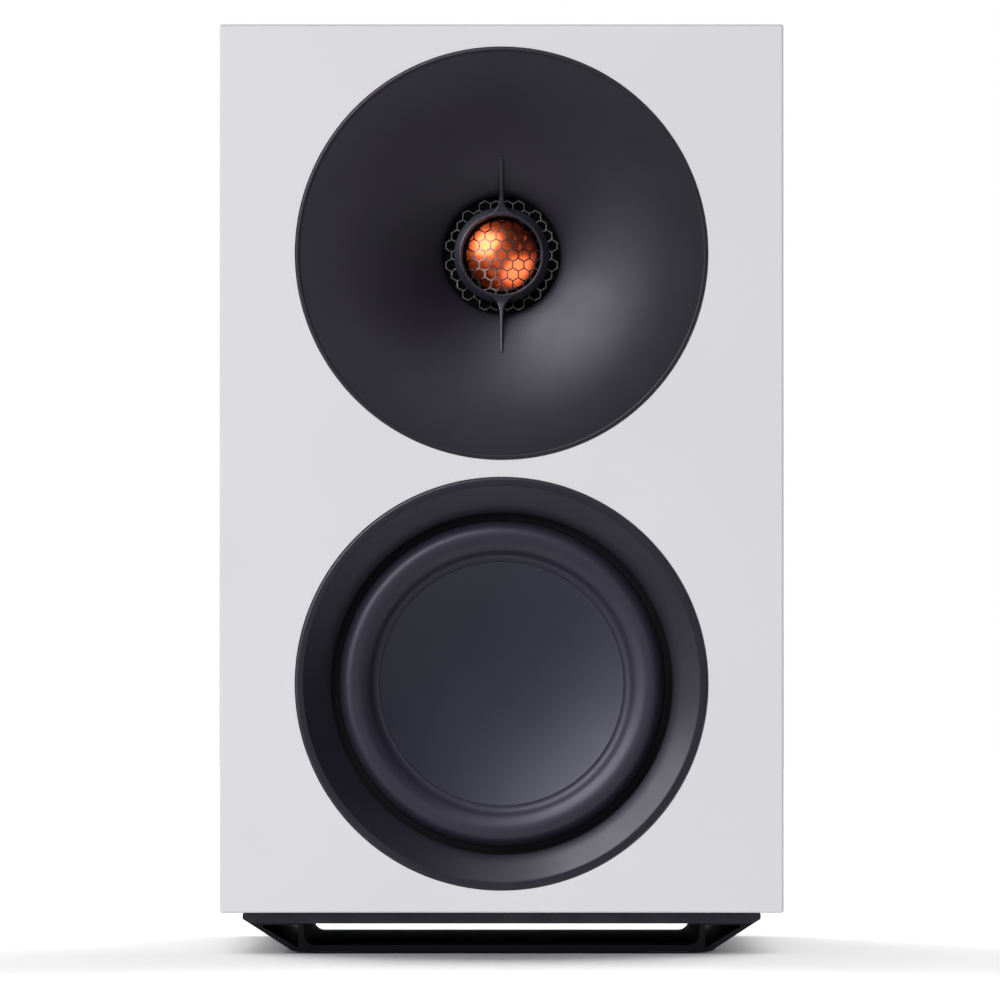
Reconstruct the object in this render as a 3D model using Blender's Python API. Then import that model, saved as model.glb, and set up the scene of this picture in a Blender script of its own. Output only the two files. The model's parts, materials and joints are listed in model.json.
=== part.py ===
"""A two-way passive bookshelf speaker, built as an assembly of separate pieces.

The frame has +Z up and the speaker faces -Y. Its origin is on the surface that it stands on, under the
middle of its box. Every size is in millimetres and becomes metres where a mesh is made. A depth is the
distance behind the front face of the baffle, so a turned piece is a list of (radius, depth) points spun
about its driver's axis.
"""

import math

import bmesh
import bpy
from mathutils import Vector

MM = 0.001
GAP = 0.3  # clearance kept between neighbouring pieces

# Driving dimensions
CABINET_WIDTH = 203.0
CABINET_HEIGHT = 320.0
CABINET_DEPTH = 260.0
PLINTH_HEIGHT = 14.4  # with its foot pads
WALL = 15.0
BAFFLE = 22.0
RIM_RADIUS = 74.1  # of the waveguide and of the woofer's trim ring
RIM_PROUD = 0.8  # how far both rims stand in front of the baffle
DRIVER_INSET = 82.5  # from the cabinet's top and bottom to the nearer driver's axis

# Terminals on the rear panel
POST_SPACING = 19.0
POST_END = 284.5  # depth of the outer end of a terminal stud

FRONT_Y = -(POST_END - RIM_PROUD) / 2
CABINET_BOTTOM = PLINTH_HEIGHT
CABINET_TOP = PLINTH_HEIGHT + CABINET_HEIGHT
TWEETER_Z = CABINET_TOP - DRIVER_INSET
WOOFER_Z = CABINET_BOTTOM + DRIVER_INSET
HALF_WIDTH = CABINET_WIDTH / 2
INNER_HALF = HALF_WIDTH - WALL
INNER_BOTTOM = CABINET_BOTTOM + WALL
INNER_TOP = CABINET_TOP - WALL
REAR_FACE = CABINET_DEPTH

# Waveguide
HORN_RADIUS = 72.6
THROAT_RADIUS = 21.4
HORN_START = -0.4
HORN_DISH = 20.9
HORN_POWER = 2.05
THROAT_FLARE = 0.7
THROAT_POWER = 20
FLANGE_BACK = 5.0

# Steps round a turned piece
FINE, MEDIUM, COARSE, SMALL = 36, 24, 20, 12

MATERIALS = {
    "white_lacquer": ((0.70, 0.69, 0.73), 0.45, 0.0),
    "mdf": ((0.45, 0.33, 0.22), 0.85, 0.0),
    "black_plastic": ((0.030, 0.029, 0.036), 0.42, 0.0),
    "rubber": ((0.032, 0.031, 0.038), 0.55, 0.0),
    "cone_graphite": ((0.036, 0.037, 0.048), 0.38, 0.0),
    "dark_mesh": ((0.05, 0.05, 0.055), 0.35, 0.8),
    "copper_dome": ((0.85, 0.30, 0.10), 0.28, 0.6),
    "steel": ((0.55, 0.55, 0.56), 0.35, 1.0),
    "dark_steel": ((0.10, 0.10, 0.11), 0.45, 1.0),
    "ferrite": ((0.05, 0.05, 0.055), 0.7, 0.0),
    "copper_wire": ((0.72, 0.32, 0.14), 0.35, 1.0),
    "brass": ((0.80, 0.60, 0.25), 0.25, 1.0),
    "spider_cloth": ((0.62, 0.42, 0.16), 0.9, 0.0),
    "wadding": ((0.80, 0.80, 0.78), 0.95, 0.0),
    "board_green": ((0.03, 0.16, 0.08), 0.45, 0.0),
    "red_plastic": ((0.55, 0.02, 0.02), 0.35, 0.0),
    "capacitor_film": ((0.62, 0.08, 0.05), 0.35, 0.0),
    "capacitor_can": ((0.04, 0.05, 0.09), 0.30, 0.0),
    "ceramic": ((0.75, 0.74, 0.70), 0.7, 0.0),
    "basket_alloy": ((0.09, 0.09, 0.10), 0.5, 0.6),
    "anodised": ((0.055, 0.054, 0.065), 0.4, 0.7),
    "cable_sheath": ((0.05, 0.05, 0.05), 0.5, 0.0),
}


def clear_scene():
    for obj in list(bpy.data.objects):
        bpy.data.objects.remove(obj, do_unlink=True)


def material(name):
    found = bpy.data.materials.get(name)
    if found:
        return found
    colour, roughness, metallic = MATERIALS[name]
    made = bpy.data.materials.new(name)
    made.use_nodes = True
    shader = made.node_tree.nodes["Principled BSDF"]
    shader.inputs["Base Color"].default_value = (*colour, 1.0)
    shader.inputs["Roughness"].default_value = roughness
    shader.inputs["Metallic"].default_value = metallic
    return made


def place(x=0.0, depth=0.0, z=0.0):
    """A point given by x, depth behind the baffle's front face and height, in metres."""
    return Vector((x, FRONT_Y + depth, z)) * MM


def add_object(name, bm, location, finish, rotation=(0.0, 0.0, 0.0)):
    """Turns a bmesh made in millimetres into a named object with its own material."""
    bmesh.ops.scale(bm, vec=(MM, MM, MM), verts=bm.verts)
    bmesh.ops.recalc_face_normals(bm, faces=bm.faces)
    if bm.calc_volume(signed=True) < 0:
        bmesh.ops.reverse_faces(bm, faces=bm.faces)
    mesh = bpy.data.meshes.new(name)
    bm.to_mesh(mesh)
    bm.free()
    mesh.shade_smooth()
    mesh.set_sharp_from_angle(angle=math.radians(35))
    mesh.materials.append(material(finish))
    obj = bpy.data.objects.new(name, mesh)
    obj.location = location
    obj.rotation_euler = rotation
    bpy.context.scene.collection.objects.link(obj)
    return obj


def spun(profile, steps, start=0.0):
    """A bmesh turned about +Y from (radius, depth) points, closed by the axis if its ends are on it."""
    bm = bmesh.new()
    verts = [bm.verts.new((radius, depth, 0.0)) for radius, depth in profile]
    on_axis = profile[0][0] == 0.0 and profile[-1][0] == 0.0
    pairs = list(zip(verts, verts[1:]))
    if not on_axis:
        pairs.append((verts[-1], verts[0]))
    for a, b in pairs:
        bm.edges.new((a, b))
    if start:
        bmesh.ops.rotate(bm, cent=(0, 0, 0), matrix=rotation_about_y(start), verts=bm.verts)
    outline = bm.verts[:] + bm.edges[:]
    centre, axis = (0, 0, 0), (0, 1, 0)
    bmesh.ops.spin(bm, geom=outline, cent=centre, axis=axis, angle=math.tau, steps=steps, use_merge=True)
    bmesh.ops.remove_doubles(bm, verts=bm.verts, dist=1e-4)
    return bm


def rotation_about_y(angle):
    c, s = math.cos(angle), math.sin(angle)
    return ((c, 0, s), (0, 1, 0), (-s, 0, c))


def turned(name, profile, finish, x=0.0, z=0.0, steps=FINE, start=0.0):
    """A piece turned about an axis along Y at (x, z)."""
    return add_object(name, spun(profile, steps, start), place(x, 0.0, z), finish)


def turned_upright(name, profile, finish, x, depth, steps=SMALL):
    """A piece turned about an upright axis: its (radius, height) points run upwards from the floor."""
    return add_object(name, spun(profile, steps), place(x, depth, 0.0), finish, (math.pi / 2, 0.0, 0.0))


def prism(name, outline, depths, finish, x=0.0, z=0.0):
    """An outline of (x, z) points, extruded along Y between two depths."""
    bm = bmesh.new()
    face = bm.faces.new([bm.verts.new((px, depths[0], pz)) for px, pz in outline])
    made = bmesh.ops.extrude_face_region(bm, geom=[face])
    moved = [v for v in made["geom"] if isinstance(v, bmesh.types.BMVert)]
    bmesh.ops.translate(bm, vec=(0, depths[1] - depths[0], 0), verts=moved)
    return add_object(name, bm, place(x, 0.0, z), finish)


def rectangle(x0, x1, z0, z1, radius=0.0, steps=4):
    """Corner points of a rectangle, with round corners if a radius is given."""
    if not radius:
        return [(x0, z0), (x1, z0), (x1, z1), (x0, z1)]
    points = []
    corners = ((x1 - radius, z0 + radius, -90), (x1 - radius, z1 - radius, 0),
               (x0 + radius, z1 - radius, 90), (x0 + radius, z0 + radius, 180))
    for cx, cz, first in corners:
        for k in range(steps + 1):
            angle = math.radians(first + 90 * k / steps)
            points.append((cx + radius * math.cos(angle), cz + radius * math.sin(angle)))
    return points


def tube(name, points, radius, finish):
    """A cable through the given points, with filled ends, on a line read from a smooth curve."""
    line = smooth_line([place(*point) for point in points], 5)
    curve = bpy.data.curves.new(name, "CURVE")
    curve.dimensions = "3D"
    curve.bevel_depth = radius * MM
    curve.bevel_resolution = 2
    curve.use_fill_caps = True
    spline = curve.splines.new("POLY")
    spline.points.add(len(line) - 1)
    for point, where in zip(spline.points, line):
        point.co = (*where, 1.0)
    curve.materials.append(material(finish))
    obj = bpy.data.objects.new(name, curve)
    bpy.context.scene.collection.objects.link(obj)
    return obj


def smooth_line(points, per_span):
    """Points along a Catmull-Rom curve through the given ones."""
    ends = [points[0] * 2 - points[1], *points, points[-1] * 2 - points[-2]]
    line = []
    for a, b, c, d in zip(ends, ends[1:], ends[2:], ends[3:]):
        for k in range(per_span):
            t = k / per_span
            bend = (2 * a - 5 * b + 4 * c - d) * t**2 + (3 * b - a - 3 * c + d) * t**3
            line.append(0.5 * (2 * b + (c - a) * t + bend))
    return [*line, points[-1]]


def as_cutter(obj):
    obj.hide_render = True
    obj.display_type = "WIRE"
    return obj


def combine(obj, other, operation="DIFFERENCE"):
    modifier = obj.modifiers.new(other.name, "BOOLEAN")
    modifier.object = as_cutter(other)
    modifier.operation = operation
    modifier.solver = "EXACT"


def drill(obj, name, radius, depths, x, z, steps=SMALL):
    """A round hole along Y."""
    profile = [(0.0, depths[0]), (radius, depths[0]), (radius, depths[1]), (0.0, depths[1])]
    combine(obj, turned(name, profile, "mdf", x, z, steps))


def drill_upright(obj, name, radius, heights, x, depth, steps=SMALL):
    """A round hole along Z."""
    profile = [(0.0, heights[0]), (radius, heights[0]), (radius, heights[1]), (0.0, heights[1])]
    combine(obj, turned_upright(name, profile, "mdf", x, depth, steps))


# ---------------------------------------------------------------- cabinet

SCREW_CIRCLE = 65.9
WOOFER_SCREWS = [math.radians(45 + 90 * k) for k in range(4)]
PLINTH_SCREWS = [(x, depth) for x in (-60.0, 60.0) for depth in (44.0, 192.0)]
MITRE = GAP / math.sqrt(2)

PORT_RADIUS = 18.0
PORT_WALL = 2.0
PORT_HOLE = 27.8
PORT_INNER_END = 140.0
PORT_MOUTH = 27.0
PORT_FLARE_START = 240.0
PORT_FACE = REAR_FACE + GAP + 2.5

TERMINAL_Z = 82.0
TERMINAL_HALF = (58.0, 46.0)
CUTOUT_HALF = (49.0, 37.0)
POST_Z = 58.0
PLATE_FACE = REAR_FACE + GAP + 3.0


def wall_panels():
    """Top, bottom and side panels of MDF, mitred where they meet."""
    low, high = CABINET_BOTTOM, CABINET_TOP
    depths = (BAFFLE + GAP, REAR_FACE)
    for name, side in (("left_side_panel", -1), ("right_side_panel", 1)):
        outer, inner = side * HALF_WIDTH, side * INNER_HALF
        outline = [(outer, low + MITRE), (inner, INNER_BOTTOM + MITRE)]
        outline += [(inner, INNER_TOP - MITRE), (outer, high - MITRE)]
        prism(name, outline, depths, "white_lacquer")
    for name, outer, inner in (("top_panel", high, INNER_TOP), ("bottom_panel", low, INNER_BOTTOM)):
        long, short = HALF_WIDTH - MITRE, INNER_HALF - MITRE
        outline = [(-long, outer), (long, outer), (short, inner), (-short, inner)]
        panel = prism(name, outline, depths, "white_lacquer")
        if name == "bottom_panel":
            for k, (x, depth) in enumerate(PLINTH_SCREWS):
                drill_upright(panel, f"cut_bottom_pilot_{k}", 2.1, (low - 5, 26.5), x, depth)


def front_baffle():
    """The front panel, rebated for the waveguide's rim, the trim ring and the woofer's flange."""
    outline = rectangle(-HALF_WIDTH, HALF_WIDTH, CABINET_BOTTOM, CABINET_TOP)
    baffle = prism("front_baffle", outline, (0.0, BAFFLE), "white_lacquer")
    rebate = RIM_RADIUS + GAP
    step = FLANGE_BACK + GAP
    beyond = BAFFLE + 5
    horn = [(0.0, -5.0), (rebate, -5.0), (rebate, step), (60.0, step), (60.0, beyond), (0.0, beyond)]
    combine(baffle, turned("cut_horn", horn, "mdf", z=TWEETER_Z))
    woofer = [(0.0, -5.0), (rebate, -5.0), (rebate, step), (69.1, step), (69.1, 15.3), (60.9, 15.3)]
    woofer += [(60.9, beyond), (0.0, beyond)]
    combine(baffle, turned("cut_woofer", woofer, "mdf", z=WOOFER_Z))
    for k, (x, z) in enumerate(screw_places()):
        drill(baffle, f"cut_baffle_pilot_{k}", 1.6, (12.0, beyond), x, z)


def screw_places():
    return [(SCREW_CIRCLE * math.cos(a), WOOFER_Z + SCREW_CIRCLE * math.sin(a)) for a in WOOFER_SCREWS]


def rear_panel():
    """The back, set in between the walls, with the port's hole and the terminal plate's cut-out."""
    x, low, high = INNER_HALF - GAP, INNER_BOTTOM + GAP, INNER_TOP - GAP
    panel = prism("rear_panel", rectangle(-x, x, low, high), (REAR_FACE - WALL, REAR_FACE), "white_lacquer")
    drill(panel, "cut_port", PORT_HOLE, (REAR_FACE - 30, REAR_FACE + 10), 0.0, TWEETER_Z, MEDIUM)
    width, height = CUTOUT_HALF
    opening = rectangle(-width, width, TERMINAL_Z - height, TERMINAL_Z + height)
    combine(panel, prism("cut_terminals", opening, (REAR_FACE - 30, REAR_FACE + 10), "mdf"))


def brace_panel():
    """A shelf with a window that ties the side panels together between the two drivers."""
    depths = (BAFFLE + GAP, REAR_FACE - WALL - GAP)
    middle = (CABINET_BOTTOM + CABINET_TOP) / 2
    x = INNER_HALF - GAP
    brace = prism("brace_panel", rectangle(-x, x, middle - 6, middle + 6), depths, "mdf")
    window = [(-55.0, 62.0), (55.0, 62.0), (55.0, 205.0), (-55.0, 205.0)]
    bm = bmesh.new()
    face = bm.faces.new([bm.verts.new((px, depth, middle - 20)) for px, depth in window])
    made = bmesh.ops.extrude_face_region(bm, geom=[face])
    moved = [v for v in made["geom"] if isinstance(v, bmesh.types.BMVert)]
    bmesh.ops.translate(bm, vec=(0, 0, 40), verts=moved)
    combine(brace, add_object("cut_brace", bm, place(), "mdf"))


def damping_lining():
    """One sheet of wadding laid up one side, over the top and down the other, above the brace."""
    outer, inner = INNER_HALF - GAP, INNER_HALF - GAP - 12
    low, high = 184.0, INNER_TOP - GAP
    outline = [(-outer, low), (-outer, high), (outer, high), (outer, low),
               (inner, low), (inner, high - 12), (-inner, high - 12), (-inner, low)]
    prism("damping_lining", outline, (60.0, 230.0), "wadding")


# ---------------------------------------------------------------- waveguide and tweeter

GRILLE_PITCH = 4.1
GRILLE_WALL = 0.5
GRILLE_THICK = 0.7
GRILLE_FRONT = 23.0
GRILLE_REACH = 3  # rings of open cells round the middle one
MESH_DOME_RADIUS = 14.0
MESH_DOME_HEIGHT = 6.5
RING_FRONT = 17.0
RING_INNER = 14.0
RING_OUTER = 17.1
RING_BACK = 22.6
FIN_TIP = 35.6
DOME_RADIUS = 12.6
DOME_BASE = 25.2
DOME_CREST = 6.3
DOME_HEIGHT = 4.4
DOME_DIMPLE = 1.2


def horn_depth(radius):
    """Depth of the waveguide's front surface."""
    share = max((HORN_RADIUS - radius) / (HORN_RADIUS - THROAT_RADIUS), 0.0)
    return HORN_START + HORN_DISH * share**HORN_POWER + THROAT_FLARE * share**THROAT_POWER


def waveguide():
    """A shallow round horn with a rolled lip, a flange behind its rim and a pad behind its throat."""
    rings = 10
    radii = [HORN_RADIUS + (THROAT_RADIUS - HORN_RADIUS) * k / rings for k in range(rings + 1)]
    front = [(RIM_RADIUS, 0.1), (RIM_RADIUS - 0.6, -0.65), (RIM_RADIUS - 1.0, -RIM_PROUD)]
    front += [(r, horn_depth(r)) for r in radii]
    throat = [(THROAT_RADIUS, 22.6), (24.2, 22.6), (24.2, 24.2), (36.0, 24.2), (36.0, horn_depth(36.0) + 4.5)]
    skin = [(r, horn_depth(r) + 3.6) for r in (44.0, 52.0)]
    back = [(59.0, FLANGE_BACK), (RIM_RADIUS, FLANGE_BACK)]
    turned("waveguide", front + throat + skin + back, "black_plastic", z=TWEETER_Z)


def fin_half_width(radius):
    """Half the width of a fin, flared where it leaves the ring."""
    return 0.6 + 2.6 * math.exp(-(radius - RING_OUTER + 1.0) / 2.0)


def fin(name, up):
    """A thin blade that spans the horn from the ring to the point where the horn's surface meets it."""
    bm = bmesh.new()
    rows = []
    tip = horn_depth(FIN_TIP) - GAP - 0.2
    for r in (15.2, 17.0, 18.4, 20.2, 22.5, 25.0, 28.0, 31.5, FIN_TIP):
        share = max(r - RING_OUTER, 0.0) / (FIN_TIP - RING_OUTER)
        front = RING_FRONT + 0.3 + (tip - RING_FRONT - 0.3) * share
        floor = min(horn_depth(max(r, THROAT_RADIUS)), RING_BACK) - GAP - 0.1
        back = max(floor, front + 0.1)
        width = fin_half_width(r)
        shoulder = min(front + 0.5, back - 0.05)
        corners = ((-width, shoulder), (0.0, front), (width, shoulder), (width, back), (-width, back))
        rows.append([bm.verts.new((x, depth, up * r)) for x, depth in corners])
    for a, b in zip(rows, rows[1:]):
        for i in range(5):
            j = (i + 1) % 5
            bm.faces.new((a[i], a[j], b[j], b[i]))
    bm.faces.new(rows[0])
    bm.faces.new(rows[-1])
    return add_object(name, bm, place(z=TWEETER_Z), "black_plastic")


def bridge_ring():
    """The ring in front of the dome, with a fin above and below it."""
    profile = [(RING_INNER, RING_FRONT + 1.3), (RING_INNER + 0.3, RING_FRONT + 0.2)]
    profile += [(RING_INNER + 0.9, RING_FRONT), (RING_OUTER - 0.2, RING_FRONT + 2.3)]
    profile += [(RING_OUTER, RING_FRONT + 3.4), (RING_OUTER - 0.9, RING_BACK), (RING_INNER + 0.5, RING_BACK)]
    ring = turned("tweeter_bridge_ring", profile, "black_plastic", z=TWEETER_Z, steps=MEDIUM)
    combine(ring, fin("add_fin_up", 1), "UNION")
    combine(ring, fin("add_fin_down", -1), "UNION")


def mesh_dome(radius):
    """How far the wire mesh bulges forward in front of the dome."""
    return MESH_DOME_HEIGHT * max(1 - (radius / MESH_DOME_RADIUS) ** 2, 0.0)


def hex_centres():
    """Centres of the mesh's hexagonal cells."""
    rise = math.sqrt(3) / 2
    for row in range(-GRILLE_REACH, GRILLE_REACH + 1):
        count = 2 * GRILLE_REACH + 1 - abs(row)
        for column in range(count):
            yield (column - (count - 1) / 2) * GRILLE_PITCH, row * rise * GRILLE_PITCH


def grille():
    """The honeycomb mesh: walls between hexagonal holes, domed in the middle, in a flat rim."""
    bm = bmesh.new()
    corners = {}
    side = GRILLE_PITCH / math.sqrt(3)

    def corner(x, z):
        key = (round(x, 2), round(z, 2))
        if key not in corners:
            corners[key] = bm.verts.new((x, GRILLE_FRONT, z))
        return corners[key]

    for cx, cz in hex_centres():
        angles = [math.radians(30 + 60 * k) for k in range(6)]
        bm.faces.new([corner(cx + side * math.cos(a), cz + side * math.sin(a)) for a in angles])
    bm.normal_update()
    cells = bm.faces[:]
    bmesh.ops.inset_individual(bm, faces=cells, thickness=GRILLE_WALL / 2, use_even_offset=True)
    bmesh.ops.delete(bm, geom=cells, context="FACES_ONLY")
    made = bmesh.ops.extrude_face_region(bm, geom=bm.faces[:])
    moved = [v for v in made["geom"] if isinstance(v, bmesh.types.BMVert)]
    bmesh.ops.translate(bm, vec=(0, GRILLE_THICK, 0), verts=moved)
    for v in bm.verts:
        v.co.y -= mesh_dome(math.hypot(v.co.x, v.co.z))
    mesh = add_object("tweeter_grille", bm, place(z=TWEETER_Z), "dark_mesh")
    rim = [(13.3, 22.9), (23.9, 22.9), (23.9, 23.9), (13.3, 23.9)]
    combine(mesh, turned("add_grille_rim", rim, "dark_mesh", z=TWEETER_Z, steps=MEDIUM), "UNION")


def dome_depth(radius):
    """Depth of the diaphragm's front surface: a raised ring with a shallow dimple inside it."""
    if radius > DOME_CREST:
        share = (radius - DOME_CREST) / (DOME_RADIUS - DOME_CREST)
        return DOME_BASE - DOME_HEIGHT * math.sqrt(max(1 - share**2, 0.0))
    return DOME_BASE - DOME_HEIGHT + DOME_DIMPLE * (0.5 + 0.5 * math.cos(math.pi * radius / DOME_CREST))


def tweeter():
    radii = [0.0, 2.4, 4.4, DOME_CREST, 8.6, 10.6, 12.0, DOME_RADIUS]
    front = [(r, dome_depth(r)) for r in radii]
    back = [(max(r - 0.35 * r / DOME_RADIUS, 0.0), dome_depth(r) + 0.35) for r in reversed(radii)]
    turned("tweeter_dome", front + back, "copper_dome", z=TWEETER_Z, steps=COARSE)
    roll = [(12.9, 25.3), (13.4, 24.7), (14.1, 24.4), (14.8, 24.7), (15.2, 25.3), (16.4, 25.3), (16.4, 25.7),
            (15.0, 25.7), (14.1, 24.9), (13.2, 25.7), (12.9, 25.7)]
    turned("tweeter_surround", roll, "rubber", z=TWEETER_Z, steps=COARSE)
    coil = [(12.2, 25.9), (12.9, 25.9), (12.9, 31.2), (12.2, 31.2)]
    turned("tweeter_voice_coil", coil, "copper_wire", z=TWEETER_Z, steps=COARSE)
    plate = [(13.3, 26.0), (17.0, 26.0), (17.0, 24.5), (33.0, 24.5), (33.0, 29.5), (13.3, 29.5)]
    turned("tweeter_top_plate", plate, "dark_steel", z=TWEETER_Z, steps=MEDIUM)
    magnet = [(15.0, 29.8), (26.0, 29.8), (26.0, 37.8), (15.0, 37.8)]
    turned("tweeter_magnet", magnet, "ferrite", z=TWEETER_Z, steps=COARSE)
    yoke = [(0.0, 26.4), (11.8, 26.4), (11.8, 38.1), (25.0, 38.1), (25.0, 42.1), (0.0, 42.1)]
    turned("tweeter_yoke", yoke, "dark_steel", z=TWEETER_Z, steps=COARSE)
    cup = [(23.0, 42.4), (25.4, 42.4), (25.4, 58.5), (24.0, 60.0), (0.0, 60.0), (0.0, 58.0), (23.0, 58.0)]
    turned_cup("tweeter_rear_chamber", cup)


def turned_cup(name, profile):
    """A turned cup, whose outer and inner skins both end on the axis."""
    first = next(k for k, (radius, _) in enumerate(profile) if radius == 0.0)
    outer, inner = profile[: first + 1], profile[first + 1 :]
    chain = list(reversed(outer)) + list(reversed(inner))
    turned(name, chain, "black_plastic", z=TWEETER_Z, steps=COARSE)


# ---------------------------------------------------------------- woofer

CONE_RADIUS = 44.1
CONE_EDGE = 9.9
CONE_DISH = 10.5
ROLL_INNER = 47.9
ROLL_OUTER = 58.8
ROLL_RISE = 5.4
ROLL_BASE = 9.9
SEAT_DEPTH = 13.0  # where the surround's flange is glued to the basket
SPIDER_DEPTH = 29.2


def cone_depth(radius):
    """Depth of the dished diaphragm's front surface."""
    return CONE_EDGE + CONE_DISH * (1 - (radius / CONE_RADIUS) ** 2)


def trim_ring():
    profile = [(RIM_RADIUS, 0.0), (RIM_RADIUS - 0.5, -0.6), (RIM_RADIUS - 1.0, -RIM_PROUD)]
    profile += [(71.6, -RIM_PROUD), (71.2, -0.4), (61.6, 7.6), (61.6, 9.0), (62.2, 9.0)]
    profile += [(66.4, FLANGE_BACK), (RIM_RADIUS, FLANGE_BACK)]
    turned("woofer_trim_ring", profile, "black_plastic", z=WOOFER_Z)


def surround():
    """A half-roll of rubber, its flange sunk in the basket, with a rounded bead on the edge of the cone."""
    steps = 6
    middle, half = (ROLL_INNER + ROLL_OUTER) / 2, (ROLL_OUTER - ROLL_INNER) / 2
    thick = 0.7
    angles = [math.pi * k / steps for k in range(steps + 1)]
    outer = [(middle + half * math.cos(a), ROLL_BASE - ROLL_RISE * math.sin(a)) for a in angles]
    rise = ROLL_RISE - thick + GAP
    inner = [(middle + (half - thick) * math.cos(a), ROLL_BASE + GAP - rise * math.sin(a)) for a in angles]
    front = [(62.6, SEAT_DEPTH - 1.0), (ROLL_OUTER + 0.3, SEAT_DEPTH - 1.0), *outer, (45.8, 8.9), (44.4, 9.4)]
    back = [(44.4, 10.4), (46.2, 10.4), *reversed(inner), (ROLL_OUTER - 0.5, SEAT_DEPTH - GAP)]
    back += [(62.6, SEAT_DEPTH - GAP)]
    turned("woofer_surround", front + back, "rubber", z=WOOFER_Z)


def cone():
    radii = [0.0, 11.0, 22.0, 33.0, 44.0]
    front = [(r, cone_depth(r)) for r in radii]
    edge = [(44.05, 10.8), (46.8, 10.8), (46.8, 11.6), (44.0, 11.6)]
    back = [(r, cone_depth(r) + 0.9) for r in (33.0, 22.0, 11.0, 0.0)]
    turned("woofer_cone", front + edge + back, "cone_graphite", z=WOOFER_Z, steps=40)


def suspension():
    """The corrugated spider that centres the voice coil."""
    waves, first, last = 8, 18.0, 39.0
    radii = [first + (last - first) * k / waves for k in range(waves + 1)]
    heights = [SPIDER_DEPTH + (1.2 if k % 2 else -1.2) for k in range(waves + 1)]
    front = [(16.7, SPIDER_DEPTH - 0.3), *zip(radii, heights), (44.0, SPIDER_DEPTH + 0.1)]
    back = [(r, d + 0.6) for r, d in reversed(front)]
    turned("woofer_spider", front + back, "spider_cloth", z=WOOFER_Z, steps=COARSE)


def basket():
    """The cast frame: a flange, six legs and a seat for the spider and the magnet."""
    profile = [(62.9, 10.5), (68.8, 10.5), (68.8, 13.2), (63.5, 13.2), (63.5, 14.9), (60.0, 14.9)]
    profile += [(46.0, 33.0), (46.0, 38.0), (18.6, 38.0), (18.6, 35.2), (39.5, 35.2), (39.5, 30.2)]
    profile += [(44.96, 30.2), (57.4, 14.4), (58.6, SEAT_DEPTH), (62.9, SEAT_DEPTH)]
    frame = turned("woofer_basket", profile, "basket_alloy", z=WOOFER_Z)
    for k in range(3):
        bm = bmesh.new()
        bmesh.ops.create_cube(bm, size=1.0)
        bmesh.ops.scale(bm, vec=(150.0, 11.5, 30.0), verts=bm.verts)
        bmesh.ops.translate(bm, vec=(0.0, 22.6, 0.0), verts=bm.verts)
        turn = (0.0, math.radians(60 * k + 15), 0.0)
        combine(frame, add_object(f"cut_window_{k}", bm, place(z=WOOFER_Z), "mdf", turn))
    for k, (x, z) in enumerate(screw_places()):
        drill(frame, f"cut_flange_hole_{k}", 1.7, (8.0, 15.0), x, z)
    outline = [(63.8, 13.5), (68.6, 13.5), (68.6, 15.0), (63.8, 15.0)]
    gasket = turned("woofer_gasket", outline, "rubber", z=WOOFER_Z)
    for k, (x, z) in enumerate(screw_places()):
        drill(gasket, f"cut_gasket_hole_{k}", 1.7, (12.0, 17.0), x, z)


def motor():
    parts = (
        ("woofer_coil_former", [(15.9, 20.6), (16.4, 20.6), (16.4, 48.0), (15.9, 48.0)],
         "spider_cloth", COARSE),
        ("woofer_voice_coil", [(16.7, 34.3), (17.5, 34.3), (17.5, 47.3), (16.7, 47.3)],
         "copper_wire", COARSE),
        ("woofer_top_plate", [(17.9, 38.3), (36.0, 38.3), (36.0, 43.3), (17.9, 43.3)], "steel", MEDIUM),
        ("woofer_magnet",
         [(21.0, 43.6), (39.0, 43.6), (40.0, 44.6), (40.0, 57.6), (39.0, 58.6), (21.0, 58.6)],
         "ferrite", MEDIUM),
        ("woofer_yoke",
         [(4.0, 38.3), (15.4, 38.3), (15.4, 58.9), (36.0, 58.9), (36.0, 63.9), (35.0, 64.9), (4.0, 64.9)],
         "steel", MEDIUM),
    )
    for name, profile, finish, steps in parts:
        turned(name, profile, finish, z=WOOFER_Z, steps=steps)


def woofer_fittings():
    strip = rectangle(-7.0, 7.0, WOOFER_Z + 46.5, WOOFER_Z + 56.5)
    prism("woofer_terminal_strip", strip, (34.5, 36.1), "ceramic")
    head, top, under, tip = 2.3, 8.5, 10.2, 21.0
    profile = [(0.0, top), (head - 0.5, top), (head, top + 0.6), (head, under)]
    profile += [(1.2, under), (1.2, tip - 2), (0.0, tip)]
    for k, (x, z) in enumerate(screw_places()):
        turned(f"woofer_screw_{k + 1}", profile, "dark_steel", x, z, steps=SMALL)


# ---------------------------------------------------------------- rear port, terminals and crossover


def port_tube():
    """The bass port: a straight pipe that flares to a flange on the rear panel."""
    flare = 4
    length = PORT_FACE - PORT_FLARE_START
    spread = PORT_MOUTH - PORT_RADIUS
    stations = [k / flare for k in range(flare + 1)]
    inside = [(PORT_RADIUS + spread * t**2.4, PORT_FLARE_START + length * t) for t in stations]
    outside = [(PORT_RADIUS + PORT_WALL, PORT_INNER_END), (PORT_RADIUS + PORT_WALL, PORT_FLARE_START),
               (PORT_RADIUS + PORT_WALL + 1.4, PORT_FLARE_START + 11), (PORT_HOLE - 0.5, REAR_FACE - 2.0),
               (PORT_HOLE - 0.5, REAR_FACE + GAP), (34.0, REAR_FACE + GAP), (34.0, PORT_FACE - 1.0),
               (33.0, PORT_FACE)]
    profile = [(PORT_RADIUS, PORT_INNER_END), *outside, *reversed(inside)]
    turned("port_tube", profile, "black_plastic", z=TWEETER_Z, steps=MEDIUM)


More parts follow.
